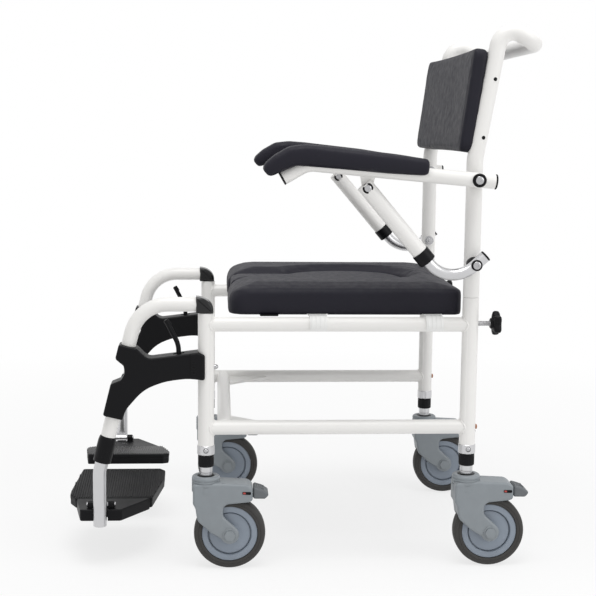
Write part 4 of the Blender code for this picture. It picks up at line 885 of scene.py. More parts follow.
def brake_pedal():
    """Wedge with grip ribs and a tongue into the housing, drawn from its pivot."""
    root, tip = 0.0085, 0.0370
    points = [(root, -0.0010), (tip - 0.0075, -0.0014), (tip, 0.0070), (tip - 0.0125, 0.0155),
              (root, 0.0205)]
    outline = outlined(points, [0.0036, 0.006, 0.0042, 0.020, 0.0036])
    made = sheet(outline, -PEDAL_HALF_WIDTH, PEDAL_HALF_WIDTH, upright(0.0), edge=0.0035, segments=3)
    ribs = []
    for index in range(5):
        x = root + 0.0035 + 0.0036 * index
        z = 0.0204 - 0.29 * (x - root)
        ribs.append(tube([(x, -0.0125, z), (x, 0.0125, z)], 0.0008, 10, 0.0004))
    tongue = block((0.0005, -TONGUE_HALF_WIDTH, -0.0010), (root + 0.003, TONGUE_HALF_WIDTH, 0.0030))
    return joined(made, *ribs, tongue)


def add_casters():
    """Leg, button, collar and caster at each corner; casters all trail to the rear."""
    handed = {
        "leg_collar": (leg_collar(), "black_plastic"),
        "leg_tube": (leg_tube(), "satin_aluminium"),
        "height_button": (height_button(), "zinc_steel"),
        "caster_fork": (caster_fork(), "grey_plastic"),
    }
    other = {name: (mirrored(mesh), slot) for name, (mesh, slot) in handed.items()}
    sleeves = (post_sleeve(), mirrored(post_sleeve()))
    trim = {
        "stem_seal": (stem_seal(), "black_plastic", None),
        "axle_heads": (axle_heads(), "grey_plastic", None),
        "brake_window": (brake_window(), "black_plastic", None),
        "brake_tab": (brake_tab(), "black_plastic", RED_MARK),
    }
    rim, tread, pedal = wheel_rim(), tyre(), brake_pedal()
    for end, x in CORNERS.items():
        for side, y, shapes, sleeve in (("_left", -HALF_TRACK, handed, sleeves[0]),
                                        ("_right", HALF_TRACK, other, sleeves[1])):
            corner = "_" + end + side
            for name, (mesh, slot) in shapes.items():
                piece(name + "_made" + corner, moved(mesh, x, y, 0.0), slot, name + corner)
            piece("post_sleeve" + corner, moved(sleeve, x, y, 0.0), "satin_aluminium", body="frame")
            for name, (mesh, slot, material) in trim.items():
                piece(name + corner, moved(mesh, x, y, 0.0), slot, body="caster" + corner, material=material)
            hub = (x + TRAIL, y, WHEEL_RADIUS)
            piece("wheel_rim_made" + corner, moved(rim, *hub), "grey_plastic", "wheel_rim" + corner,
                  material=RIM_GREY)
            piece("tyre_made" + corner, moved(tread, *hub), "tyre_rubber", "tyre" + corner)
            pivot = (x + PEDAL_PIVOT[0], y, PEDAL_PIVOT[1])
            piece("brake_pedal_made" + corner, moved(pedal, *pivot), "pedal_plastic", "brake_pedal" + corner)


def stud_behind(x, y, z, size):
    """Domed stud that points to the rear."""
    return turned(dome(*size), along((x + POST_RADIUS, y, z), BACKWARD), FINE_SIDES)


def add_frame():
    left = side_frame()
    right = mirrored(left)
    piece("left_frame_tubes", left, "powder_coat", "left_side_frame")
    piece("right_frame_tubes", right, "powder_coat", "right_side_frame")
    piece("cross_tube", cross_tube(), "powder_coat", "front_cross_tube")
    latch = stud_behind(FRONT_POST_X - LATCH_ROOT, -HALF_TRACK + LATCH_ASIDE, LATCH_Z, LATCH_PIN)
    pair_on("latch_pin", latch, "zinc_steel", "frame")
    plug = stud_behind(REAR_POST_X - RAIL_PLUG_ROOT, -HALF_TRACK, LOWER_RAIL_Z, RAIL_PLUG)
    pair_on("rail_plug", plug, "zinc_steel", "frame", AMBER)


def rake_x(z):
    """Centre of the raked upright at height z."""
    return REAR_POST_X + max(0.0, z - RAKE_START_Z) * math.tan(RAKE)


def back_tube():
    """One bent tube: up one side, round the push bar and down the other."""
    foot = REAR_POST_TOP_Z + PLAY
    run = [(REAR_POST_X, foot), (REAR_POST_X, RAKE_START_Z), (rake_x(BAR_CORNER_Z), BAR_CORNER_Z), BAR_REAR]
    route = [(x, -HALF_TRACK, z) for x, z in run]
    route += [(x, HALF_TRACK, z) for x, z in reversed(run)]
    return tube(rounded(route, BACK_BENDS + BACK_BENDS[::-1]), POST_RADIUS)


def back_plug():
    """Bare end of the back tube inside the rear post."""
    foot = REAR_POST_TOP_Z + PLAY
    radius = POST_BORE - 0.0007
    ends = [(REAR_POST_X, -HALF_TRACK, foot + z) for z in (-PLUG_DEPTH, 0.004)]
    return tube(ends, radius)


def pad_bosses():
    """Spacers between an upright and the back pad."""
    made = []
    for z in BOSS_HEIGHTS:
        x = rake_x(z) - 0.007
        inner = -BACK_HALF_WIDTH + 0.003
        made.append(tube([(x, -HALF_TRACK, z), (x, inner, z)], BOSS_RADIUS, FINE_SIDES))
    return joined(*made)


def pad_screws():
    """Heads of the pad's screws, outside the upright and turned a little to the rear."""
    profile = [(0.0033, -0.0012), (0.0033, 0.0003), (0.0026, 0.0009), (0.0013, 0.0010), (0.0010, 0.0002)]
    made = []
    for z in BOSS_HEIGHTS:
        place = along((rake_x(z) + 0.0045, -HALF_TRACK - 0.0131, z), (0.30, -1.0, 0.0))
        made.append(turned(profile, place, FINE_SIDES))
    return joined(*made)


def pivot_spacer(z, tube_radius):
    """Plastic spacer between an upright and the tube that turns beside it, cupped to the upright."""
    inner, outer = HALF_TRACK + 0.006, ARM_Y - tube_radius - PLAY
    depth = outer - inner
    place = along((REAR_POST_X, -inner, z), OUTWARD)
    profile = [(0.0118, 0.0), (0.0118, depth * 0.55), (0.0108, depth * 0.8), (0.0095, depth)]
    return turned(profile, place, 28)


def pivot_washer(z, tube_radius, radius):
    """Black cup washer under a pivot bolt's head."""
    place = along((REAR_POST_X, -ARM_Y - tube_radius - PLAY, z), OUTWARD)
    profile = [(radius - 0.0006, -0.0020), (radius, -0.0012), (radius, 0.0012), (radius - 0.0012, 0.0026),
               (radius * 0.66, 0.0030), (radius * 0.60, 0.0024)]
    return turned(profile, place, 36)


def pivot_bolt(z, tube_radius, radius):
    """Domed socket head outside and a hexagon nut inside the upright."""
    place = along((REAR_POST_X, -ARM_Y - tube_radius - 0.0023, z), OUTWARD)
    socket = turned([(0.0022, 0.0012), (0.0022, 0.0060)], place, 6)
    head = cut(turned(dome(radius, 0.0026), place, 28), socket)
    shank = turned([(PIN_RADIUS, -0.034), (PIN_RADIUS, -0.0002)], place, FINE_SIDES)
    inside = along((REAR_POST_X, -HALF_TRACK + POST_RADIUS - 0.0012, z), INWARD)
    washer = turned([(0.0092, 0.0), (0.0092, 0.0012), (0.0086, 0.0016)], inside, 28)
    nut = hexagon(0.0075, 0.0014, 0.0060, inside)
    end = turned([(0.0036, 0.0050), (0.0036, 0.0074), (0.0028, 0.0080)], inside, FINE_SIDES)
    return joined(head, shank, washer, nut, end)


def back_knob():
    """Lobed clamp knob with a waisted hub, along X behind the rear post."""
    start = REAR_POST_X + POST_RADIUS + 0.0205
    place = along((start, -HALF_TRACK, KNOB_Z), BACKWARD)
    levels = [(0.0, 0.42), (0.0012, 0.50), (0.0032, 0.52), (0.0046, 0.80), (0.0060, 0.93), (0.0085, 1.0),
              (0.0130, 1.0), (0.0158, 0.95), (0.0174, 0.84), (0.0182, 0.62)]
    rings = []
    for height, share in levels:
        ring = []
        for step in range(KNOB_SIDES):
            turn = 2 * math.pi * step / KNOB_SIDES
            lobe = KNOB_LOBE * math.cos(KNOB_LOBES * turn) * min(1.0, max(0.0, (share - 0.5) * 2.2))
            reach = KNOB_RADIUS * share + lobe
            ring.append(place @ Vector((reach * math.cos(turn), reach * math.sin(turn), height)))
        rings.append(ring)
    return loft(rings)


def knob_stud():
    """Threaded stud from the knob into the post."""
    start, end = POST_BORE + PLAY, POST_RADIUS + 0.0212
    step = (end - start) / STUD_TURNS
    profile = []
    for index in range(STUD_TURNS):
        z = start + step * index
        profile += [(0.0040, z), (0.0044, z + 0.35 * step), (0.0044, z + 0.6 * step)]
    return turned(profile, along((REAR_POST_X, -HALF_TRACK, KNOB_Z), BACKWARD), FINE_SIDES)


def add_back():
    piece("back_tube", back_tube(), "powder_coat", "back_frame")
    pair_on("back_plug", back_plug(), "satin_aluminium", "back")
    pair_on("pad_bosses", pad_bosses(), "black_plastic", "back")
    pair_on("pad_screws", pad_screws(), "black_plastic", "back")
    for name, z, tube_radius, washer, head in (("arm", ARM_PIVOT_Z, ARM_RAIL_RADIUS, 0.0118, 0.0068),
                                               ("strut", STRUT_PIVOT_Z, STRUT_INNER_RADIUS, 0.0096, 0.0066)):
        pair_on(name + "_pivot_spacer", pivot_spacer(z, tube_radius), "black_plastic", "back")
        pair_on(name + "_pivot_washer", pivot_washer(z, tube_radius, washer), "black_plastic", "back")
        pair_on(name + "_pivot_bolt", pivot_bolt(z, tube_radius, head), "zinc_steel", "back")
    pair("clamp_knob", back_knob(), "black_plastic", "back_knob")
    pair("clamp_stud", knob_stud(), "zinc_steel", body="knob")


def arm_frame():
    """Arm pivot, and directions along the rail to the front and down from it, in the XZ plane."""
    pivot = Vector((REAR_POST_X, ARM_PIVOT_Z))
    forward = Vector((-math.cos(ARM_SLOPE), math.sin(ARM_SLOPE)))
    down = Vector((-math.sin(ARM_SLOPE), -math.cos(ARM_SLOPE)))
    return pivot, forward, down


def in_arm_plane(point, y=-ARM_Y):
    return Vector((point[0], y, point[1]))


def arm_pin(point, reach, radius):
    """Round bar across the arm's plane."""
    return tube([in_arm_plane(point, -ARM_Y + way * reach) for way in (-1, 1)], radius, FINE_SIDES)


def rail_path():
    pivot, forward, _ = arm_frame()
    bend = pivot + forward * ARM_REACH
    nose = bend + Vector((-math.cos(ARM_DROP), -math.sin(ARM_DROP))) * ARM_NOSE
    return rounded([in_arm_plane(point) for point in (pivot - forward * ARM_TAIL, bend, nose)], [ARM_BEND])


def strut_top():
    pivot, forward, down = arm_frame()
    return pivot + forward * TAB_REACH + down * TAB_DROP


def end_cap(path, tube_radius):
    """Thin plug plate over a tube's end; the path's last point is that end."""
    direction = (path[-1] - path[-2]).normalized()
    radius = tube_radius + CAP_LAP
    edge = CAP_THICKNESS / 3
    profile = [(radius - edge, -CAP_THICKNESS), (radius, edge - CAP_THICKNESS), (radius, -edge),
               (radius - edge, 0.0)]
    return turned(profile, along(path[-1], direction))


def trimmed(path, length):
    """The path with its last stretch shortened."""
    return [*path[:-1], path[-1] - (path[-1] - path[-2]).normalized() * length]


def arm_rail():
    path = trimmed(trimmed(rail_path(), CAP_THICKNESS)[::-1], CAP_THICKNESS)
    pivot, _, _ = arm_frame()
    return cut(tube(path, ARM_RAIL_RADIUS), arm_pin(pivot, BORE_REACH, ARM_BORE))


def arm_caps():
    path = rail_path()
    return joined(end_cap(path, ARM_RAIL_RADIUS), end_cap(path[::-1], ARM_RAIL_RADIUS))


def arm_tab():
    """Plate from the rail's underside to the strut's upper pivot."""
    pivot, forward, down = arm_frame()
    root, tip = pivot + forward * TAB_REACH, strut_top()
    upper = [root + forward * reach + down * 0.006 for reach in (0.015, -0.012)]
    lower = [tip + forward * reach + down * drop
             for reach, drop in ((-0.009, 0.0), (-0.007, 0.009), (0.007, 0.009), (0.009, 0.0))]
    outline = outlined(upper + lower, [0.002, 0.002, 0.010, 0.008, 0.008, 0.010])
    return sheet(outline, -0.0025, 0.0025, upright(-ARM_Y), edge=0.0006)


def strut_bolt():
    """Bolt through the strut's forked head, domed outside and nutted inside."""
    top = strut_top()
    reach = STRUT_OUTER_RADIUS - 0.0012
    outside = along(in_arm_plane(top, -ARM_Y - reach), OUTWARD)
    head = turned(dome(0.0060, 0.0030), outside, 24)
    head = cut(head, turned([(0.0020, 0.0014), (0.0020, 0.0060)], outside, 6))
    inside = along(in_arm_plane(top, -ARM_Y + reach), INWARD)
    nut = hexagon(0.0060, 0.0, 0.0030, inside)
    return joined(head, nut, arm_pin(top, reach, PIN_RADIUS))


def strut_washer():
    """Dark rings under the strut bolt's head and its nut."""
    profile = [(0.0086, -0.0020), (0.0090, -0.0012), (0.0090, 0.0004), (0.0082, 0.0012), (0.0050, 0.0014)]
    rings = []
    for side in (-1, 1):
        start = in_arm_plane(strut_top(), -ARM_Y + side * (STRUT_OUTER_RADIUS - 0.0018))
        rings.append(turned(profile, along(start, (0.0, side, 0.0))))
    return joined(*rings)


def strut_axis():
    return Vector((math.cos(STRUT_ANGLE), -math.sin(STRUT_ANGLE)))


def strut_outer():
    """White tube, forked over the rail's tab, bored for the inner tube."""
    top, down = strut_top(), strut_axis()
    end = top + down * (STRUT_OUTER_LENGTH - 0.004)
    made = tube([in_arm_plane(top - down * STRUT_HEAD), in_arm_plane(end)], STRUT_OUTER_RADIUS)
    past = STRUT_OUTER_RADIUS
    bore = [in_arm_plane(top + down * 0.0098), in_arm_plane(end + down * past)]
    made = cut(made, tube(bore, 0.0130))
    mouth, throat = -STRUT_HEAD - past, 0.0105
    slot = [(mouth, -2 * past), (throat, -2 * past), (throat, 2 * past), (mouth, 2 * past)]
    place = Matrix.Translation(in_arm_plane(top)) @ Matrix.Rotation(STRUT_ANGLE, 4, "Y") @ upright(0.0)
    made = cut(made, sheet(slot, -0.0029, 0.0029, place, edge=0.0001))
    return cut(made, arm_pin(top, 2 * past, PIVOT_BORE))


def strut_collar():
    """Black guide collar at the mouth of the outer tube."""
    end = strut_top() + strut_axis() * STRUT_OUTER_LENGTH
    radius, length, edge = STRUT_COLLAR_RADIUS, STRUT_COLLAR_LENGTH, 0.0010
    inner, wall = 0.0128, STRUT_OUTER_RADIUS + 0.0001
    profile = [(inner, 0.0), (radius - edge, 0.0), (radius, -edge), (radius, -length + edge),
               (radius - edge, -length), (wall, -length), (wall, -0.0038), (inner, -0.0038)]
    axis = strut_axis()
    return turned(profile, along(in_arm_plane(end), (axis.x, 0.0, axis.y)), 40, closed=True)


def strut_path():
    top, down = strut_top(), strut_axis()
    pivot = Vector((REAR_POST_X, STRUT_PIVOT_Z))
    tail = Vector((math.cos(STRUT_TAIL_ANGLE), math.sin(STRUT_TAIL_ANGLE)))
    to_pivot = pivot - top
    back = (to_pivot.x * down.y - to_pivot.y * down.x) / (tail.x * down.y - tail.y * down.x)
    route = [top + down * STRUT_INNER_TOP, pivot - tail * back, pivot + tail * STRUT_INNER_TAIL]
    return rounded([in_arm_plane(point) for point in route], [STRUT_INNER_BEND])


def strut_inner():
    made = tube(trimmed(strut_path(), CAP_THICKNESS), STRUT_INNER_RADIUS)
    return cut(made, arm_pin((REAR_POST_X, STRUT_PIVOT_Z), BORE_REACH, PIVOT_BORE))


def add_arms():
    pair("arm_tube", arm_rail(), "powder_coat", "arm_rail")
    pair("arm_caps", arm_caps(), "black_plastic", body="armrest")
    pair("arm_tab", arm_tab(), "powder_coat", body="armrest")
    pair("strut_bolt", strut_bolt(), "zinc_steel", body="armrest")
    pair("strut_washer", strut_washer(), "black_plastic", body="armrest")
    pair("strut_tube", strut_outer(), "powder_coat", "strut_outer")
    pair("strut_collar", strut_collar(), "black_plastic", body="strut_outer")
    pair("strut_rod", strut_inner(), "satin_aluminium", "strut_inner")
    pair("strut_cap", end_cap(strut_path(), STRUT_INNER_RADIUS), "black_plastic", body="strut_inner")


def hanger_x(z):
    """Hanger's raked axis at height z."""
    return FRONT_POST_X - HANGER_REACH - (HANGER_Z - z) * math.tan(HANGER_RAKE)


def foot_x(z):
    """Foot tube's raked axis at height z."""
    return hanger_x(z) + FOOT_SET_BACK


def at_post(x, z):
    return Vector((x, -HALF_TRACK, z))


def on_foot_axis(z):
    return at_post(foot_x(z), z)


def hanger_tube():
    start = at_post(FRONT_POST_X - ELBOW_FRONT + 0.0055, HANGER_Z)
    corner = at_post(FRONT_POST_X - HANGER_REACH, HANGER_Z)
    end = at_post(hanger_x(HANGER_END_Z), HANGER_END_Z)
    return tube(rounded([start, corner, end], [HANGER_BEND]), HANGER_RADIUS)


def hanger_elbow():
    """Quarter-round cap on the front post with a socket for the hanger and a spigot in the post."""
    base = FRONT_POST_TOP_Z + PLAY
    low = base + 0.004
    mouth = FRONT_POST_X - ELBOW_FRONT
    length = ELBOW_FRONT + ELBOW_REAR
    outline = [(mouth, base), (FRONT_POST_X + ELBOW_REAR, base)]
    for x, z in arc((0.0, 0.0), 1.0, 0, 90, 12):
        outline.append((mouth + length * x, low + (ELBOW_TOP_Z - low) * z))
    half = ELBOW_HALF_WIDTH
    made = sheet(outline, -half, half, upright(-HALF_TRACK), edge=0.0048, segments=5)
    socket = [at_post(mouth + x, HANGER_Z) for x in (-0.020, 0.006)]
    made = cut(made, tube(socket, HANGER_RADIUS + PLAY))
    spigot = [at_post(FRONT_POST_X, base + z) for z in (-0.045, 0.002)]
    return joined(made, tube(spigot, POST_BORE - 0.0008))


def bracket_outline():
    """Side view: socket on the hanger, arm back to the post, knee down to the foot tube."""
    socket = [((-0.0165, 0.3725), 0.006), ((-0.0165, 0.3977), 0.004), ((0.0160, 0.3905), 0.004)]
    arm = [((-0.0995, 0.3730), 0.018), ((-0.0138, 0.3838), 0.004), ((-0.0018, 0.3785), 0.004),
           ((-0.0018, 0.3348), 0.004), ((-0.0310, 0.3384), 0.100), ((-0.0704, 0.3332), 0.120)]
    knee = [((0.0410, 0.3193), 0.120), ((0.0190, 0.2840), 0.080), ((0.0180, 0.2660), 0.004),
            ((-0.0175, 0.2740), 0.004), ((-0.0174, 0.3290), 0.005), ((-0.0012, 0.3362), 0.008),
            ((0.0018, 0.3480), 0.012), ((-0.0026, 0.3605), 0.008)]
    points = [(hanger_x(z) + offset, z) for (offset, z), _ in socket]
    points += [(FRONT_POST_X + offset, z) for (offset, z), _ in arm]
    points += [(foot_x(z) + offset, z) for (offset, z), _ in knee]
    return outlined(points, [radius for _, radius in socket + arm + knee])


def hanger_bracket():
    """Moulded bracket with sockets for both tubes, a saddle on the post and a slot for the lever."""
    half = BRACKET_HALF_WIDTH
    made = sheet(bracket_outline(), -half, half, upright(-HALF_TRACK), edge=0.0034, segments=3)
    direction = Vector((-math.sin(HANGER_RAKE), 0.0, -math.cos(HANGER_RAKE)))
    made = cut(made, tube([at_post(FRONT_POST_X, 0.30), at_post(FRONT_POST_X, 0.42)], POST_RADIUS + 0.0004))
    seat = at_post(hanger_x(HANGER_END_Z), HANGER_END_Z) + direction * PLAY
    made = cut(made, tube([seat, seat - direction * 0.08], HANGER_RADIUS + PLAY))
    top = at_post(foot_x(FOOT_TOP_Z), FOOT_TOP_Z) - direction * (FOOT_NOTCH + PLAY)
    made = cut(made, tube([top, top + direction * 0.08], FOOT_UPPER_RADIUS + PLAY))
    long, wide = 0.0097, 0.0055
    low = (LEVER_X - long, -HALF_TRACK - wide, 0.3630)
    high = (LEVER_X + long, -HALF_TRACK + wide, 0.4300)
    return cut(made, block(low, high, edge=0.0003))


def bracket_trim():
    """On both faces, a raised clamp block with slots at the bracket's rear end, and a rib along its top."""
    made = []
    x = FRONT_POST_X
    corners = [(x - 0.0262, 0.3385), (x - 0.0046, 0.3366), (x - 0.0046, 0.3780), (x - 0.0150, 0.3822),
               (x - 0.0262, 0.3800)]
    outline = outlined(corners, [0.003, 0.002, 0.002, 0.004, 0.003])
    front, rear, tall = x - 0.0236, x - 0.0176, 0.0045
    ridge = ((x - 0.0930, 0.3716), (x - 0.0560, 0.3760), (x - 0.0290, 0.3795))
    for side in (-1, 1):
        y = -HALF_TRACK + side * BRACKET_HALF_WIDTH
        plate = sheet(outline, -0.0013, 0.0013, upright(y), edge=0.0008)
        for low in (0.3470, 0.3560, 0.3650):
            notch = [(front, low), (rear, low), (rear, low + tall), (front, low + tall)]
            plate = cut(plate, sheet(notch, -0.004, 0.004, upright(y + side * 0.0042), edge=0.0001))
        made.append(plate)
        made.append(tube([Vector((along_x, y - side * 0.0004, z)) for along_x, z in ridge], 0.0013, 10))
    return joined(*made)


def hanger_lever():
    """Bent release lever with a hub in the bracket and a rounded tip."""
    pivot = at_post(LEVER_X, LEVER_Z)
    route = [pivot, pivot + Vector((0.0, 0.0, 0.025)), at_post(LEVER_X - 0.0215, 0.437)]
    stem = tube(rounded(route, [0.045]), 0.0042, FINE_SIDES, 0.0012)
    tip = at_post(LEVER_X - 0.0215, 0.437)
    before = at_post(LEVER_X - 0.0159, 0.4280)
    grip = along(before, tip - before)
    length = (tip - before).length
    cap = turned([(0.0044, 0.0), (0.0047, 0.0010), (0.0047, length - 0.001), (0.0040, length + 0.0006),
                  (0.0020, length + 0.0012)], grip, FINE_SIDES)
    hub = [(LEVER_X, -HALF_TRACK + y, LEVER_Z) for y in (-0.0046, 0.0046)]
    return joined(stem, cap, tube(hub, 0.0062, 24))


def foot_upper():
    top = on_foot_axis(FOOT_TOP_Z)
    return tube([top, on_foot_axis(KNUCKLE_TOP_Z - 0.004)], FOOT_UPPER_RADIUS)


def foot_knuckle():
    """Black clamp where the foot tube's two parts telescope, with a domed top and fine ridges."""
    low, high = on_foot_axis(KNUCKLE_BOTTOM_Z), on_foot_axis(KNUCKLE_TOP_Z)
    length = (high - low).length
    inner = FOOT_TUBE_RADIUS + 0.0001
    profile = [(inner, 0.0), (0.0150, 0.0), (0.0155, 0.0008), (0.0155, 0.006), (0.0155, 0.007, 0.0006),
               (0.0155, length - 0.016, 0.0006), (0.0155, length - 0.015), (0.0155, length - 0.010),
               (0.0153, length - 0.0068), (0.0148, length - 0.0035), (0.0141, length - 0.0010),
               (0.0129, length + 0.0012), (inner, length - 0.003)]
    return turned(profile, along(low, high - low), 72, closed=True, flutes=24)


def foot_lower():
    """Silver tube from the knuckle, bent upright, with a lug for the plate's hinge."""
    corner = on_foot_axis(FOOT_BEND_Z)
    route = [on_foot_axis(KNUCKLE_BOTTOM_Z + 0.006), corner, Vector((corner.x, corner.y, FOOT_BOTTOM_Z))]
    made = tube(rounded(route, [FOOT_BEND]), FOOT_TUBE_RADIUS)
    half = 0.006
    lug = [(-HALF_TRACK, HINGE_Z - half), (HINGE_Y, HINGE_Z - half), (HINGE_Y + half, HINGE_Z),
           (HINGE_Y, HINGE_Z + half), (-HALF_TRACK, HINGE_Z + half)]
    outline = outlined(lug, [0.0, half, half, half, 0.0])
    return unite(made, sheet(outline, -0.0105, 0.0105, crosswise(corner.x), edge=0.0006))


def hinge_pin():
    x = foot_x(FOOT_BEND_Z)
    rod = tube([(x + reach, HINGE_Y, HINGE_Z) for reach in (-0.0235, 0.0235)], 0.0030, FINE_SIDES)
    heads = []
    for way in (-1, 1):
        place = along((x + way * 0.0236, HINGE_Y, HINGE_Z), (way, 0.0, 0.0))
        heads.append(turned(dome(0.0042, 0.0022), place, FINE_SIDES))
    return joined(rod, *heads)


def footplate_frame():
    """Place of the deck's top at its outer edge, and the deck's depth along its slope."""
    width = PLATE_BOUNDARY_Y - PLATE_INNER_Y
    tilt = math.atan2(PLATE_INNER_Z - PLATE_OUTER_Z, width)
    place = Matrix.Translation((0.0, -PLATE_BOUNDARY_Y, PLATE_OUTER_Z)) @ Matrix.Rotation(tilt, 4, "X")
    return place, width / math.cos(tilt)


def deck_corners(deep):
    x = foot_x(FOOT_BEND_Z)
    front, rear = x - PLATE_FRONT, x + PLATE_REAR
    return [(rear - HEEL_CUT, deep), (rear, deep - HEEL_CUT), (rear, deep - HEEL_RUN),
            (rear - HEEL_TAPER, 0.0), (front + TOE_TAPER, 0.0), (front, TOE_RUN), (front, 2 * TOE_RUN),
            (front + TOE_TAPER, deep)]


def chord(outline, x):
    """Lowest and highest y of the outline at x."""
    crossings = []
    for (x0, y0), (x1, y1) in zip(outline, outline[1:] + outline[:1]):
        if min(x0, x1) <= x < max(x0, x1):
            crossings.append(y0 + (y1 - y0) * (x - x0) / (x1 - x0))
    return min(crossings), max(crossings)


def footplate_deck():
    """Moulded deck with grip ribs across it and a hollow rim under it."""
    place, deep = footplate_frame()
    outline = outlined(deck_corners(deep), [0.004, 0.004, 0.012, 0.005, 0.005, 0.010, 0.010, 0.005])
    outline = [tuple(point) for point in outline]
    deck = sheet(outline, -PLATE_THICKNESS, 0.0, place, edge=0.0018, segments=3)
    ribs = []
    first, last = min(x for x, _ in outline) + RIB_MARGIN, max(x for x, _ in outline) - RIB_MARGIN
    count = round((last - first) / RIB_PITCH)
    for index in range(count + 1):
        x = first + (last - first) * index / count
        low, high = chord(outline, x)
        ends = [place @ Vector((x, y, -0.0002)) for y in (low + RIB_MARGIN, high - RIB_MARGIN)]
        ribs.append(tube(ends, RIB_RADIUS, 10, 0.0004))
    middle = Vector((foot_x(FOOT_BEND_Z), deep / 2))

    def shrunk(share):
        return [middle + (Vector(point) - middle) * share for point in outline]

    rim = sheet(shrunk(LIP_OUTER), -LIP_DEPTH, -PLATE_THICKNESS / 2, place, edge=0.0018, segments=3)
    under = cut(rim, sheet(shrunk(LIP_INNER), -2 * LIP_DEPTH, -PLATE_THICKNESS, place, edge=0.0005))
    return joined(deck, under, *ribs)


def footplate_block():
    """Thick moulding from the deck to the foot tube, with the hinge's ears."""
    x = foot_x(FOOT_BEND_Z)
    front, rear = x - PLATE_FRONT, x + PLATE_REAR
    inner = -PLATE_BOUNDARY_Y + PLATE_THICKNESS / 2
    step = 0.001
    corners = [(rear - HEEL_TAPER - step, inner), (front + TOE_TAPER + step, inner),
               (x - BLOCK_HALF, -PLATE_OUTER_Y), (x + BLOCK_HALF, -PLATE_OUTER_Y)]
    low, high = PLATE_OUTER_Z - BLOCK_DEPTH, PLATE_OUTER_Z - PLAY
    made = sheet(outlined(corners, [0.004, 0.004, 0.006, 0.006]), low, high, edge=0.0024, segments=3)
    notch = FOOT_TUBE_RADIUS + 0.001
    ear = notch + PLATE_EAR
    reach = 0.0064
    edge = 0.001
    ears = block((x - ear, HINGE_Y - reach, low + 0.004), (x + ear, HINGE_Y + reach, HINGE_Z), edge)
    made = unite(made, ears)
    made = unite(made, tube([(x - ear, HINGE_Y, HINGE_Z), (x + ear, HINGE_Y, HINGE_Z)], reach, edge=edge))
    past = 0.006
    gap_low = (x - notch, -PLATE_OUTER_Y - past, low - past)
    gap_high = (x + notch, HINGE_Y + reach + 0.001, HINGE_Z + 2 * past)
    return cut(made, block(gap_low, gap_high, 0.0004))


def add_footrests():
    lift = (math.sin(HANGER_RAKE) * FOOT_NOTCH, 0.0, math.cos(HANGER_RAKE) * FOOT_NOTCH)
    pair("hanger_bar", hanger_tube(), "powder_coat", "hanger_tube")
    pair("hanger_cap", hanger_elbow(), "black_plastic", "hanger_elbow", material=GLOSS_BLACK)
    pair("bracket_body", hanger_bracket(), "black_plastic", "hanger_bracket")
    pair("bracket_trim", bracket_trim(), "black_plastic", body="hanger")
    pair("release_lever", hanger_lever(), "black_plastic", "hanger_lever")
    pair("foot_lower", foot_lower(), "satin_aluminium", "foot_tube", right_shift=lift)
    pair("foot_upper", foot_upper(), "powder_coat", body="foot", right_shift=lift)
    pair("foot_knuckle", foot_knuckle(), "black_plastic", body="foot", right_shift=lift)
    pair("hinge_pin", hinge_pin(), "zinc_steel", body="foot", right_shift=lift)
    pair("footplate_deck", footplate_deck(), "black_plastic", "footplate", right_shift=lift)
    pair("footplate_block", footplate_block(), "black_plastic", body="plate", right_shift=lift)


def keyhole(grow, front):
    """Seat opening from its front end round the oval, widened by grow; open at the front."""
    centre = (HOLE_FRONT_X + HOLE_REAR_X) / 2
    half_length = (HOLE_REAR_X - HOLE_FRONT_X) / 2 + grow
    half_width = HOLE_HALF_WIDTH + grow
    channel = CHANNEL_HALF_WIDTH + grow
    meet = math.pi - math.asin(channel / half_width)
    turns = [meet - 2 * meet * step / HOLE_STEPS for step in range(HOLE_STEPS + 1)]
    oval = [(centre + half_length * math.cos(turn), half_width * math.sin(turn)) for turn in turns]
    return [(front, channel), *oval, (front, -channel)]


def horseshoe(front, rear, half, front_corner, rear_corner, mouth, hole_grow):
    """Rim of the seat from mouth to mouth, then its open-fronted keyhole."""
    channel = CHANNEL_HALF_WIDTH + hole_grow
    rim = arc((front + mouth, -channel - mouth), mouth, 90, 180, 8)
    rim += arc((front + front_corner, -half + front_corner), front_corner, 180, 270, 12)
    rim += arc((rear - rear_corner, -half + rear_corner), rear_corner, 270, 360, 12)
    rim += arc((rear - rear_corner, half - rear_corner), rear_corner, 0, 90, 12)
    rim += arc((front + front_corner, half - front_corner), front_corner, 90, 180, 12)
    rim += arc((front + mouth, channel + mouth), mouth, 180, 270, 8)
    return rim, keyhole(hole_grow, front + mouth)[1:-1]


def board_outline(inset, hole_grow):
    """Outline of the board under the seat pad, or of the pad's pocket for it."""
    corner = SEAT_CORNER - inset
    rim, hole = horseshoe(SEAT_FRONT_X + inset, SEAT_REAR_X - inset, SEAT_HALF_WIDTH - inset, corner, corner,
                          PAD_CORNER_MIN, hole_grow)
    return rim + hole


def cushion(outline_at, levels, place):
    """Padded form over the outline at each level's inset."""
    return loft([[place @ Vector((x, y, height)) for x, y in outline_at(inset)] for inset, height in levels])


def seat_form():
    """Upright sides with a skirt round the board, a front that falls away, and a top that rises inward."""
    rings = []
    for inset, front_inset, hole_grow, height in SEAT_LEVELS:
        front_corner = max(PAD_FRONT_CORNER - inset, PAD_CORNER_MIN)
        rear_corner = max(PAD_REAR_CORNER - inset, PAD_CORNER_MIN)
        mouth = max(SEAT_MOUTH - inset, PAD_CORNER_MIN)
        rim, hole = horseshoe(SEAT_FRONT_X + front_inset, SEAT_REAR_X + SEAT_REAR_REACH - inset,
                              SEAT_HALF_WIDTH - inset, front_corner, rear_corner, mouth, hole_grow)
        ring = [(x, y, SEAT_BOTTOM_Z + height) for x, y in rim]
        rings.append(ring + [(x, y, SEAT_BOTTOM_Z + max(height, 0.0)) for x, y in hole])
    return loft(rings)


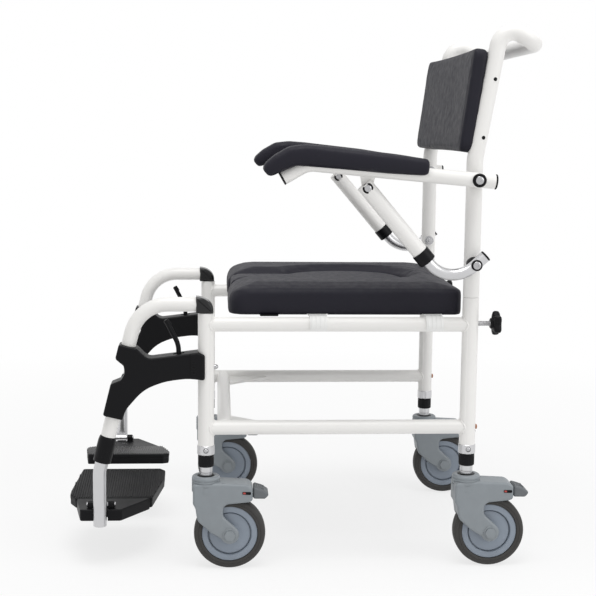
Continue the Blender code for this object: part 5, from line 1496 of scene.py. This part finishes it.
def insert_form():
    def outline(inset):
        return keyhole(-INSERT_CLEAR - inset, SEAT_FRONT_X + INSERT_SET_BACK + inset)

    return cushion(outline, INSERT_LEVELS, Matrix.Translation((0.0, 0.0, SEAT_BOTTOM_Z)))


def back_form():
    """Core between the uprights and a hollowed front that laps over them, with edges drawn in midway."""
    lean_up = Vector((math.sin(BACK_LEAN), 0.0, math.cos(BACK_LEAN)))
    forward = Vector((-math.cos(BACK_LEAN), 0.0, math.sin(BACK_LEAN)))
    start = Vector((BACK_FRONT_BOTTOM[0], 0.0, BACK_FRONT_BOTTOM[1])) - forward * BACK_THICKNESS
    turn = Matrix((lean_up.cross(forward), lean_up, forward)).transposed().to_4x4()

    def outline(half_width, full_corner, inset):
        half = half_width - inset
        low, high = inset, BACK_HEIGHT - inset
        corner = max(full_corner - inset, PAD_CORNER_MIN)
        points = []
        for step in range(17):
            share = step / 8 - 1
            points.append((share * (half - corner), low + PAD_DRAW_IN * (1 - share * share)))
        points += arc((half - corner, low + corner), corner, -90, 0, 8)[1:]
        points += arc((half - corner, high - corner), corner, 0, 90, 8)
        for step in range(1, 17):
            share = 1 - step / 8
            points.append((share * (half - corner), high - PAD_DRAW_IN * (1 - share * share)))
        points += arc((-half + corner, high - corner), corner, 90, 180, 8)[1:]
        return points + arc((-half + corner, low + corner), corner, 180, 270, 8)[:-1]

    place = Matrix.Translation(start) @ turn
    core = cushion(lambda inset: outline(BACK_HALF_WIDTH, BACK_CORNER, inset), BACK_CORE_LEVELS, place)
    rear, front = BACK_WING_LEVELS[0][1], BACK_WING_LEVELS[-1][1]
    rings = []
    for inset, height in BACK_WING_LEVELS:
        share = (height - rear) / (front - rear)
        ring = []
        for x, y in outline(BACK_WING_HALF_WIDTH, BACK_WING_CORNER, inset):
            hollow = BACK_HOLLOW * share * (1.0 - (x / BACK_WING_HALF_WIDTH) ** 2)
            ring.append(place @ Vector((x, y, height - hollow)))
        rings.append(ring)
    return joined(core, loft(rings))


def arm_pad_form():
    """Moulded pad along the rail, its nose bent down over the rail's end."""
    pivot, forward, down = arm_frame()
    y = -ARM_Y - ARM_PAD_ASIDE
    rings = []
    for reach, height, pitch, half_height, half_width in ARM_PAD_STATIONS:
        middle = pivot + forward * (ARM_REACH + reach) - down * height
        angle = ARM_SLOPE - math.radians(pitch)
        up = Vector((math.sin(angle), math.cos(angle)))
        ring = []
        for index in range(ARM_PAD_RING):
            turn = 2 * math.pi * index / ARM_PAD_RING
            across = math.copysign(abs(math.cos(turn)) ** ARM_PAD_SQUARE, math.cos(turn)) * half_width
            rise = math.copysign(abs(math.sin(turn)) ** ARM_PAD_SQUARE, math.sin(turn)) * half_height
            point = middle + up * rise
            ring.append((point[0], y + across, point[1]))
        rings.append(ring)
    return loft(rings)


def remeshed(mesh):
    """Even skin of square faces round the shells of the mesh."""
    item = linked("pad", mesh)
    step = item.modifiers.new("remesh", "REMESH")
    step.mode = "VOXEL"
    step.voxel_size = PAD_VOXEL
    mesh = evaluated(item)
    bpy.data.objects.remove(item)
    return mesh


def eased(mesh, rounds):
    """The mesh with its points drawn to the middle of their neighbours."""
    bm = bmesh.new()
    bm.from_mesh(mesh)
    for _ in range(rounds):
        bmesh.ops.smooth_vert(bm, verts=bm.verts, factor=0.5, use_axis_x=True, use_axis_y=True,
                              use_axis_z=True)
    bm.to_mesh(mesh)
    bm.free()
    return mesh


def swollen(mesh):
    """Where the points of the mesh go under the pressure of its filling."""
    scene = bpy.context.scene
    item = linked("pad", mesh)
    cloth = item.modifiers.new("cloth", "CLOTH")
    cloth.settings.quality = 5
    cloth.settings.use_pressure = True
    cloth.settings.uniform_pressure_force = PAD_PRESSURE
    cloth.settings.effector_weights.gravity = 0.0
    cloth.point_cache.frame_start = 1
    cloth.point_cache.frame_end = PAD_FRAMES
    for number in range(1, PAD_FRAMES + 1):
        scene.frame_set(number)
    made = evaluated(item)
    points = [vertex.co.copy() for vertex in made.vertices]
    bpy.data.objects.remove(item)
    scene.frame_set(1)
    return points


def padded(mesh, flat=None):
    """Skin of the filled form: remeshed, swollen by its filling, and flat where it rests.

    flat is a point and a direction: nothing goes past that plane.
    """
    start = eased(remeshed(mesh), PAD_EASE)
    outward = [vertex.normal.copy() for vertex in start.vertices]
    for vertex, normal in zip(start.vertices, outward):
        vertex.co -= normal * PAD_SHRINK
    filled = swollen(start.copy())
    for vertex, normal, point in zip(start.vertices, outward, filled):
        swell = (point - vertex.co).dot(normal)
        vertex.co += normal * min(max(swell, PAD_HOLD), PAD_CAP + PAD_SHRINK)
    if flat:
        base, away = Vector(flat[0]), Vector(flat[1]).normalized()
        for vertex in start.vertices:
            past = (vertex.co - base).dot(away)
            vertex.co -= away * max(0.0, past)
    item = linked("pad", start)
    item.modifiers.new("fine", "SUBSURF").levels = 1
    made = evaluated(item)
    bpy.data.objects.remove(item)
    return made


def rail_clip(x):
    """Ridged snap ring over the seat rail, on a flange that reaches in under the board."""
    bore = RAIL_RADIUS + PLAY
    wall = bore + CLIP_WALL
    ring = arc((0.0, 0.0), wall, -CLIP_OPENING, 180 + CLIP_OPENING, 28)
    ring += arc((0.0, 0.0), bore, 180 + CLIP_OPENING, -CLIP_OPENING, 28)
    half = CLIP_LENGTH / 2
    made = sheet(ring, -half, half, crosswise(x, -HALF_TRACK, SEAT_RAIL_Z), edge=0.0007)
    top = SEAT_BOTTOM_Z - BASE_THICKNESS - 2 * PLAY
    bottom = SEAT_RAIL_Z + RAIL_RADIUS + PLAY
    inner, outer = SEAT_HALF_WIDTH - BASE_INSET - CLIP_LENGTH / 2, HALF_TRACK + CLIP_WALL
    wide = half + CLIP_WALL
    flange = [(x - half, -outer), (x + half, -outer), (x + wide, -inner), (x - wide, -inner)]
    made = unite(made, sheet(outlined(flange, [0.003] * 4), bottom, top, edge=0.0008))
    ridges = []
    for index in range(CLIP_RIDGES):
        along_x = x + CLIP_LENGTH * ((index + 0.5) / CLIP_RIDGES - 0.5)
        turns = arc((-HALF_TRACK, SEAT_RAIL_Z), wall, -20, 200, 20)
        ridges.append(tube([(along_x, y, z) for y, z in turns], 0.0009, 8, 0.0003))
    return joined(made, *ridges)


def bumper():
    """Rubber block between the board's edge and the rail."""
    inner = SEAT_HALF_WIDTH - BASE_INSET - CLIP_WALL
    low = (BUMPER_X - BUMPER_LENGTH / 2, -HALF_TRACK + BUMPER_INSET, SEAT_RAIL_Z + RAIL_RADIUS + PLAY)
    high = (BUMPER_X + BUMPER_LENGTH / 2, -inner, SEAT_BOTTOM_Z - BASE_THICKNESS - 2 * PLAY)
    return block(low, high, 0.0018)


def add_seat():
    top = SEAT_BOTTOM_Z - PLAY
    board = sheet(board_outline(BASE_INSET, -LEDGE), top - BASE_THICKNESS, top, edge=0.0010)
    piece("seat_board", board, "black_plastic", "seat_base")
    for index, x in enumerate(CLIP_POSITIONS):
        pair_on("rail_clip_" + str(index), rail_clip(x), "white_plastic", "seat")
    pair_on("seat_bumper", bumper(), "black_plastic", "seat")


def soft_piece(name, mesh, node):
    made = piece(name, mesh, "charcoal_foam", node, soft=True)


def arm_pad_left():
    """Pad with the groove that holds the rail."""
    route = rail_path()
    end = route[-1] + (route[-1] - route[-2]).normalized() * PLAY
    groove = tube(route[:-1] + [end], ARM_RAIL_RADIUS + PLAY)
    return cut(padded(arm_pad_form()), groove)


def seat_pad():
    """Seat pad with a flat pocket for its board and notches for the rail clips."""
    down = Vector((0.0, 0.0, -1.0))
    skirt = min(height for *_, height in SEAT_LEVELS)
    made = padded(seat_form(), (Vector((0.0, 0.0, SEAT_BOTTOM_Z + skirt)), down))
    past = SEAT_BOTTOM_Z + 4 * skirt
    made = cut(made, sheet(board_outline(BOARD_POCKET, -LEDGE - PLAY), past, SEAT_BOTTOM_Z, edge=0.0005))
    for x in CLIP_POSITIONS:
        half = CLIP_LENGTH / 2 + CLIP_WALL + PLAY
        for side in (-1, 1):
            low, high = sorted((side * (SEAT_HALF_WIDTH - BASE_INSET), side * HALF_TRACK))
            notch = block((x - half, low, past), (x + half, high, SEAT_BOTTOM_Z - BASE_THICKNESS - PLAY))
            made = cut(made, notch)
    return made


def back_pad():
    """Back pad with grooves for the uprights."""
    rear = Vector((math.cos(BACK_LEAN), 0.0, -math.sin(BACK_LEAN)))
    behind = Vector((BACK_FRONT_BOTTOM[0], 0.0, BACK_FRONT_BOTTOM[1])) + rear * BACK_THICKNESS
    made = padded(back_form(), (behind, rear))
    for side in (-1, 1):
        ends = [(rake_x(z), side * HALF_TRACK, z) for z in (RAKE_START_Z, BAR_CORNER_Z)]
        made = cut(made, tube(ends, POST_RADIUS + PLAY))
    return made


def add_pads():
    seat_base = (Vector((0.0, 0.0, SEAT_BOTTOM_Z)), Vector((0.0, 0.0, -1.0)))
    soft_piece("seat_pad", seat_pad(), "seat_cushion")
    soft_piece("seat_pad_insert", padded(insert_form(), seat_base), "seat_insert")
    soft_piece("back_pad", back_pad(), "back_cushion")
    left = arm_pad_left()
    right = mirrored(left)
    soft_piece("arm_cushion_left", left, "arm_pad_left")
    soft_piece("arm_cushion_right", right, "arm_pad_right")


def seen_rays(nodes, links):
    """1 for rays that show what they hit: from the camera, or by reflection or transmission."""
    path = added(nodes, "LightPath")
    value = path.outputs["Is Camera Ray"]
    for other in ("Is Glossy Ray", "Is Transmission Ray"):
        larger = added(nodes, "Math")
        larger.operation = "MAXIMUM"
        links.new(value, larger.inputs[0])
        links.new(path.outputs[other], larger.inputs[1])
        value = larger.outputs["Value"]
    return value


def floor_look():
    """Pale floor that stays white to the eye away from the object, and takes its shadow near it."""
    made = bpy.data.materials.new("studio_floor")
    made.use_nodes = True
    nodes, links = made.node_tree.nodes, made.node_tree.links
    nodes.clear()
    distance = added(nodes, "VectorMath")
    distance.operation = "LENGTH"
    links.new(added(nodes, "TexCoord").outputs["Object"], distance.inputs[0])
    fade = added(nodes, "MapRange", From_Min=SHADOW_NEAR, From_Max=SHADOW_FAR, To_Min=FLOOR_GLOW, To_Max=1.0)
    links.new(distance.outputs["Value"], fade.inputs["Value"])
    shown = added(nodes, "Math")
    shown.operation = "MULTIPLY"
    links.new(fade.outputs["Result"], shown.inputs[0])
    links.new(seen_rays(nodes, links), shown.inputs[1])
    paint = added(nodes, "BsdfDiffuse", Color=FLOOR_PAINT)
    glow = added(nodes, "Emission")
    mixed = added(nodes, "MixShader")
    links.new(shown.outputs["Value"], mixed.inputs[0])
    links.new(paint.outputs["BSDF"], mixed.inputs[1])
    links.new(glow.outputs["Emission"], mixed.inputs[2])
    output = added(nodes, "OutputMaterial")
    links.new(mixed.outputs["Shader"], output.inputs["Surface"])
    return made


def add_floor():
    bm = bmesh.new()
    bmesh.ops.create_circle(bm, cap_ends=True, segments=64, radius=FLOOR_RADIUS)
    mesh = bpy.data.meshes.new("floor")
    bm.to_mesh(mesh)
    bm.free()
    mesh.materials.append(floor_look())
    floor = linked("floor", mesh)


def add_world():
    world = bpy.data.worlds.new("studio")
    world.use_nodes = True
    bpy.context.scene.world = world
    nodes, links = world.node_tree.nodes, world.node_tree.links
    nodes.clear()
    mixed = added(nodes, "MixShader")
    links.new(seen_rays(nodes, links), mixed.inputs[0])
    for socket, strength in ((1, WORLD_LEVEL), (2, 1.0)):
        source = added(nodes, "Background", Color=(1.0, 1.0, 1.0, 1.0), Strength=strength)
        links.new(source.outputs["Background"], mixed.inputs[socket])
    output = added(nodes, "OutputWorld")
    links.new(mixed.outputs["Shader"], output.inputs["Surface"])


def add_lamp(name, place, aim, size, power):
    lamp = bpy.data.lights.new(name, "AREA")
    lamp.shape = "DISK"
    lamp.size = size
    lamp.energy = power
    item = bpy.data.objects.new(name, lamp)
    direction = Vector(aim) - Vector(place)
    item.matrix_world = Matrix.Translation(place) @ direction.to_track_quat("-Z", "Y").to_matrix().to_4x4()
    bpy.context.scene.collection.objects.link(item)


def add_camera():
    """The photograph's view: placed by yaw, pitch and roll about a level look along +Y."""
    lens = bpy.data.cameras.new("photo_view")
    lens.sensor_width = SENSOR
    lens.lens = FOCAL_PIXELS / PHOTO_PIXELS * SENSOR
    item = bpy.data.objects.new("photo_view", lens)
    forward = math.cos(CAMERA_PITCH)
    ahead = Vector((math.sin(CAMERA_YAW) * forward, math.cos(CAMERA_YAW) * forward, -math.sin(CAMERA_PITCH)))
    level = ahead.cross(Vector((0.0, 0.0, 1.0))).normalized()
    upward = level.cross(ahead)
    right = level * math.cos(CAMERA_ROLL) + upward * math.sin(CAMERA_ROLL)
    top = right.cross(ahead)
    turn = Matrix((right, top, -ahead)).transposed().to_4x4()
    item.matrix_world = Matrix.Translation(CAMERA_PLACE) @ turn
    bpy.context.scene.collection.objects.link(item)
    bpy.context.scene.camera = item


add_camera()
add_frame()
add_casters()
add_back()
add_arms()
add_footrests()
add_seat()
add_pads()
add_floor()
add_world()
add_lamp("key", KEY_PLACE, OBJECT_MIDDLE, KEY_SIZE, KEY_POWER)
add_lamp("fill", FILL_PLACE, OBJECT_MIDDLE, FILL_SIZE, FILL_POWER)
bpy.context.scene.view_settings.view_transform = "Standard"
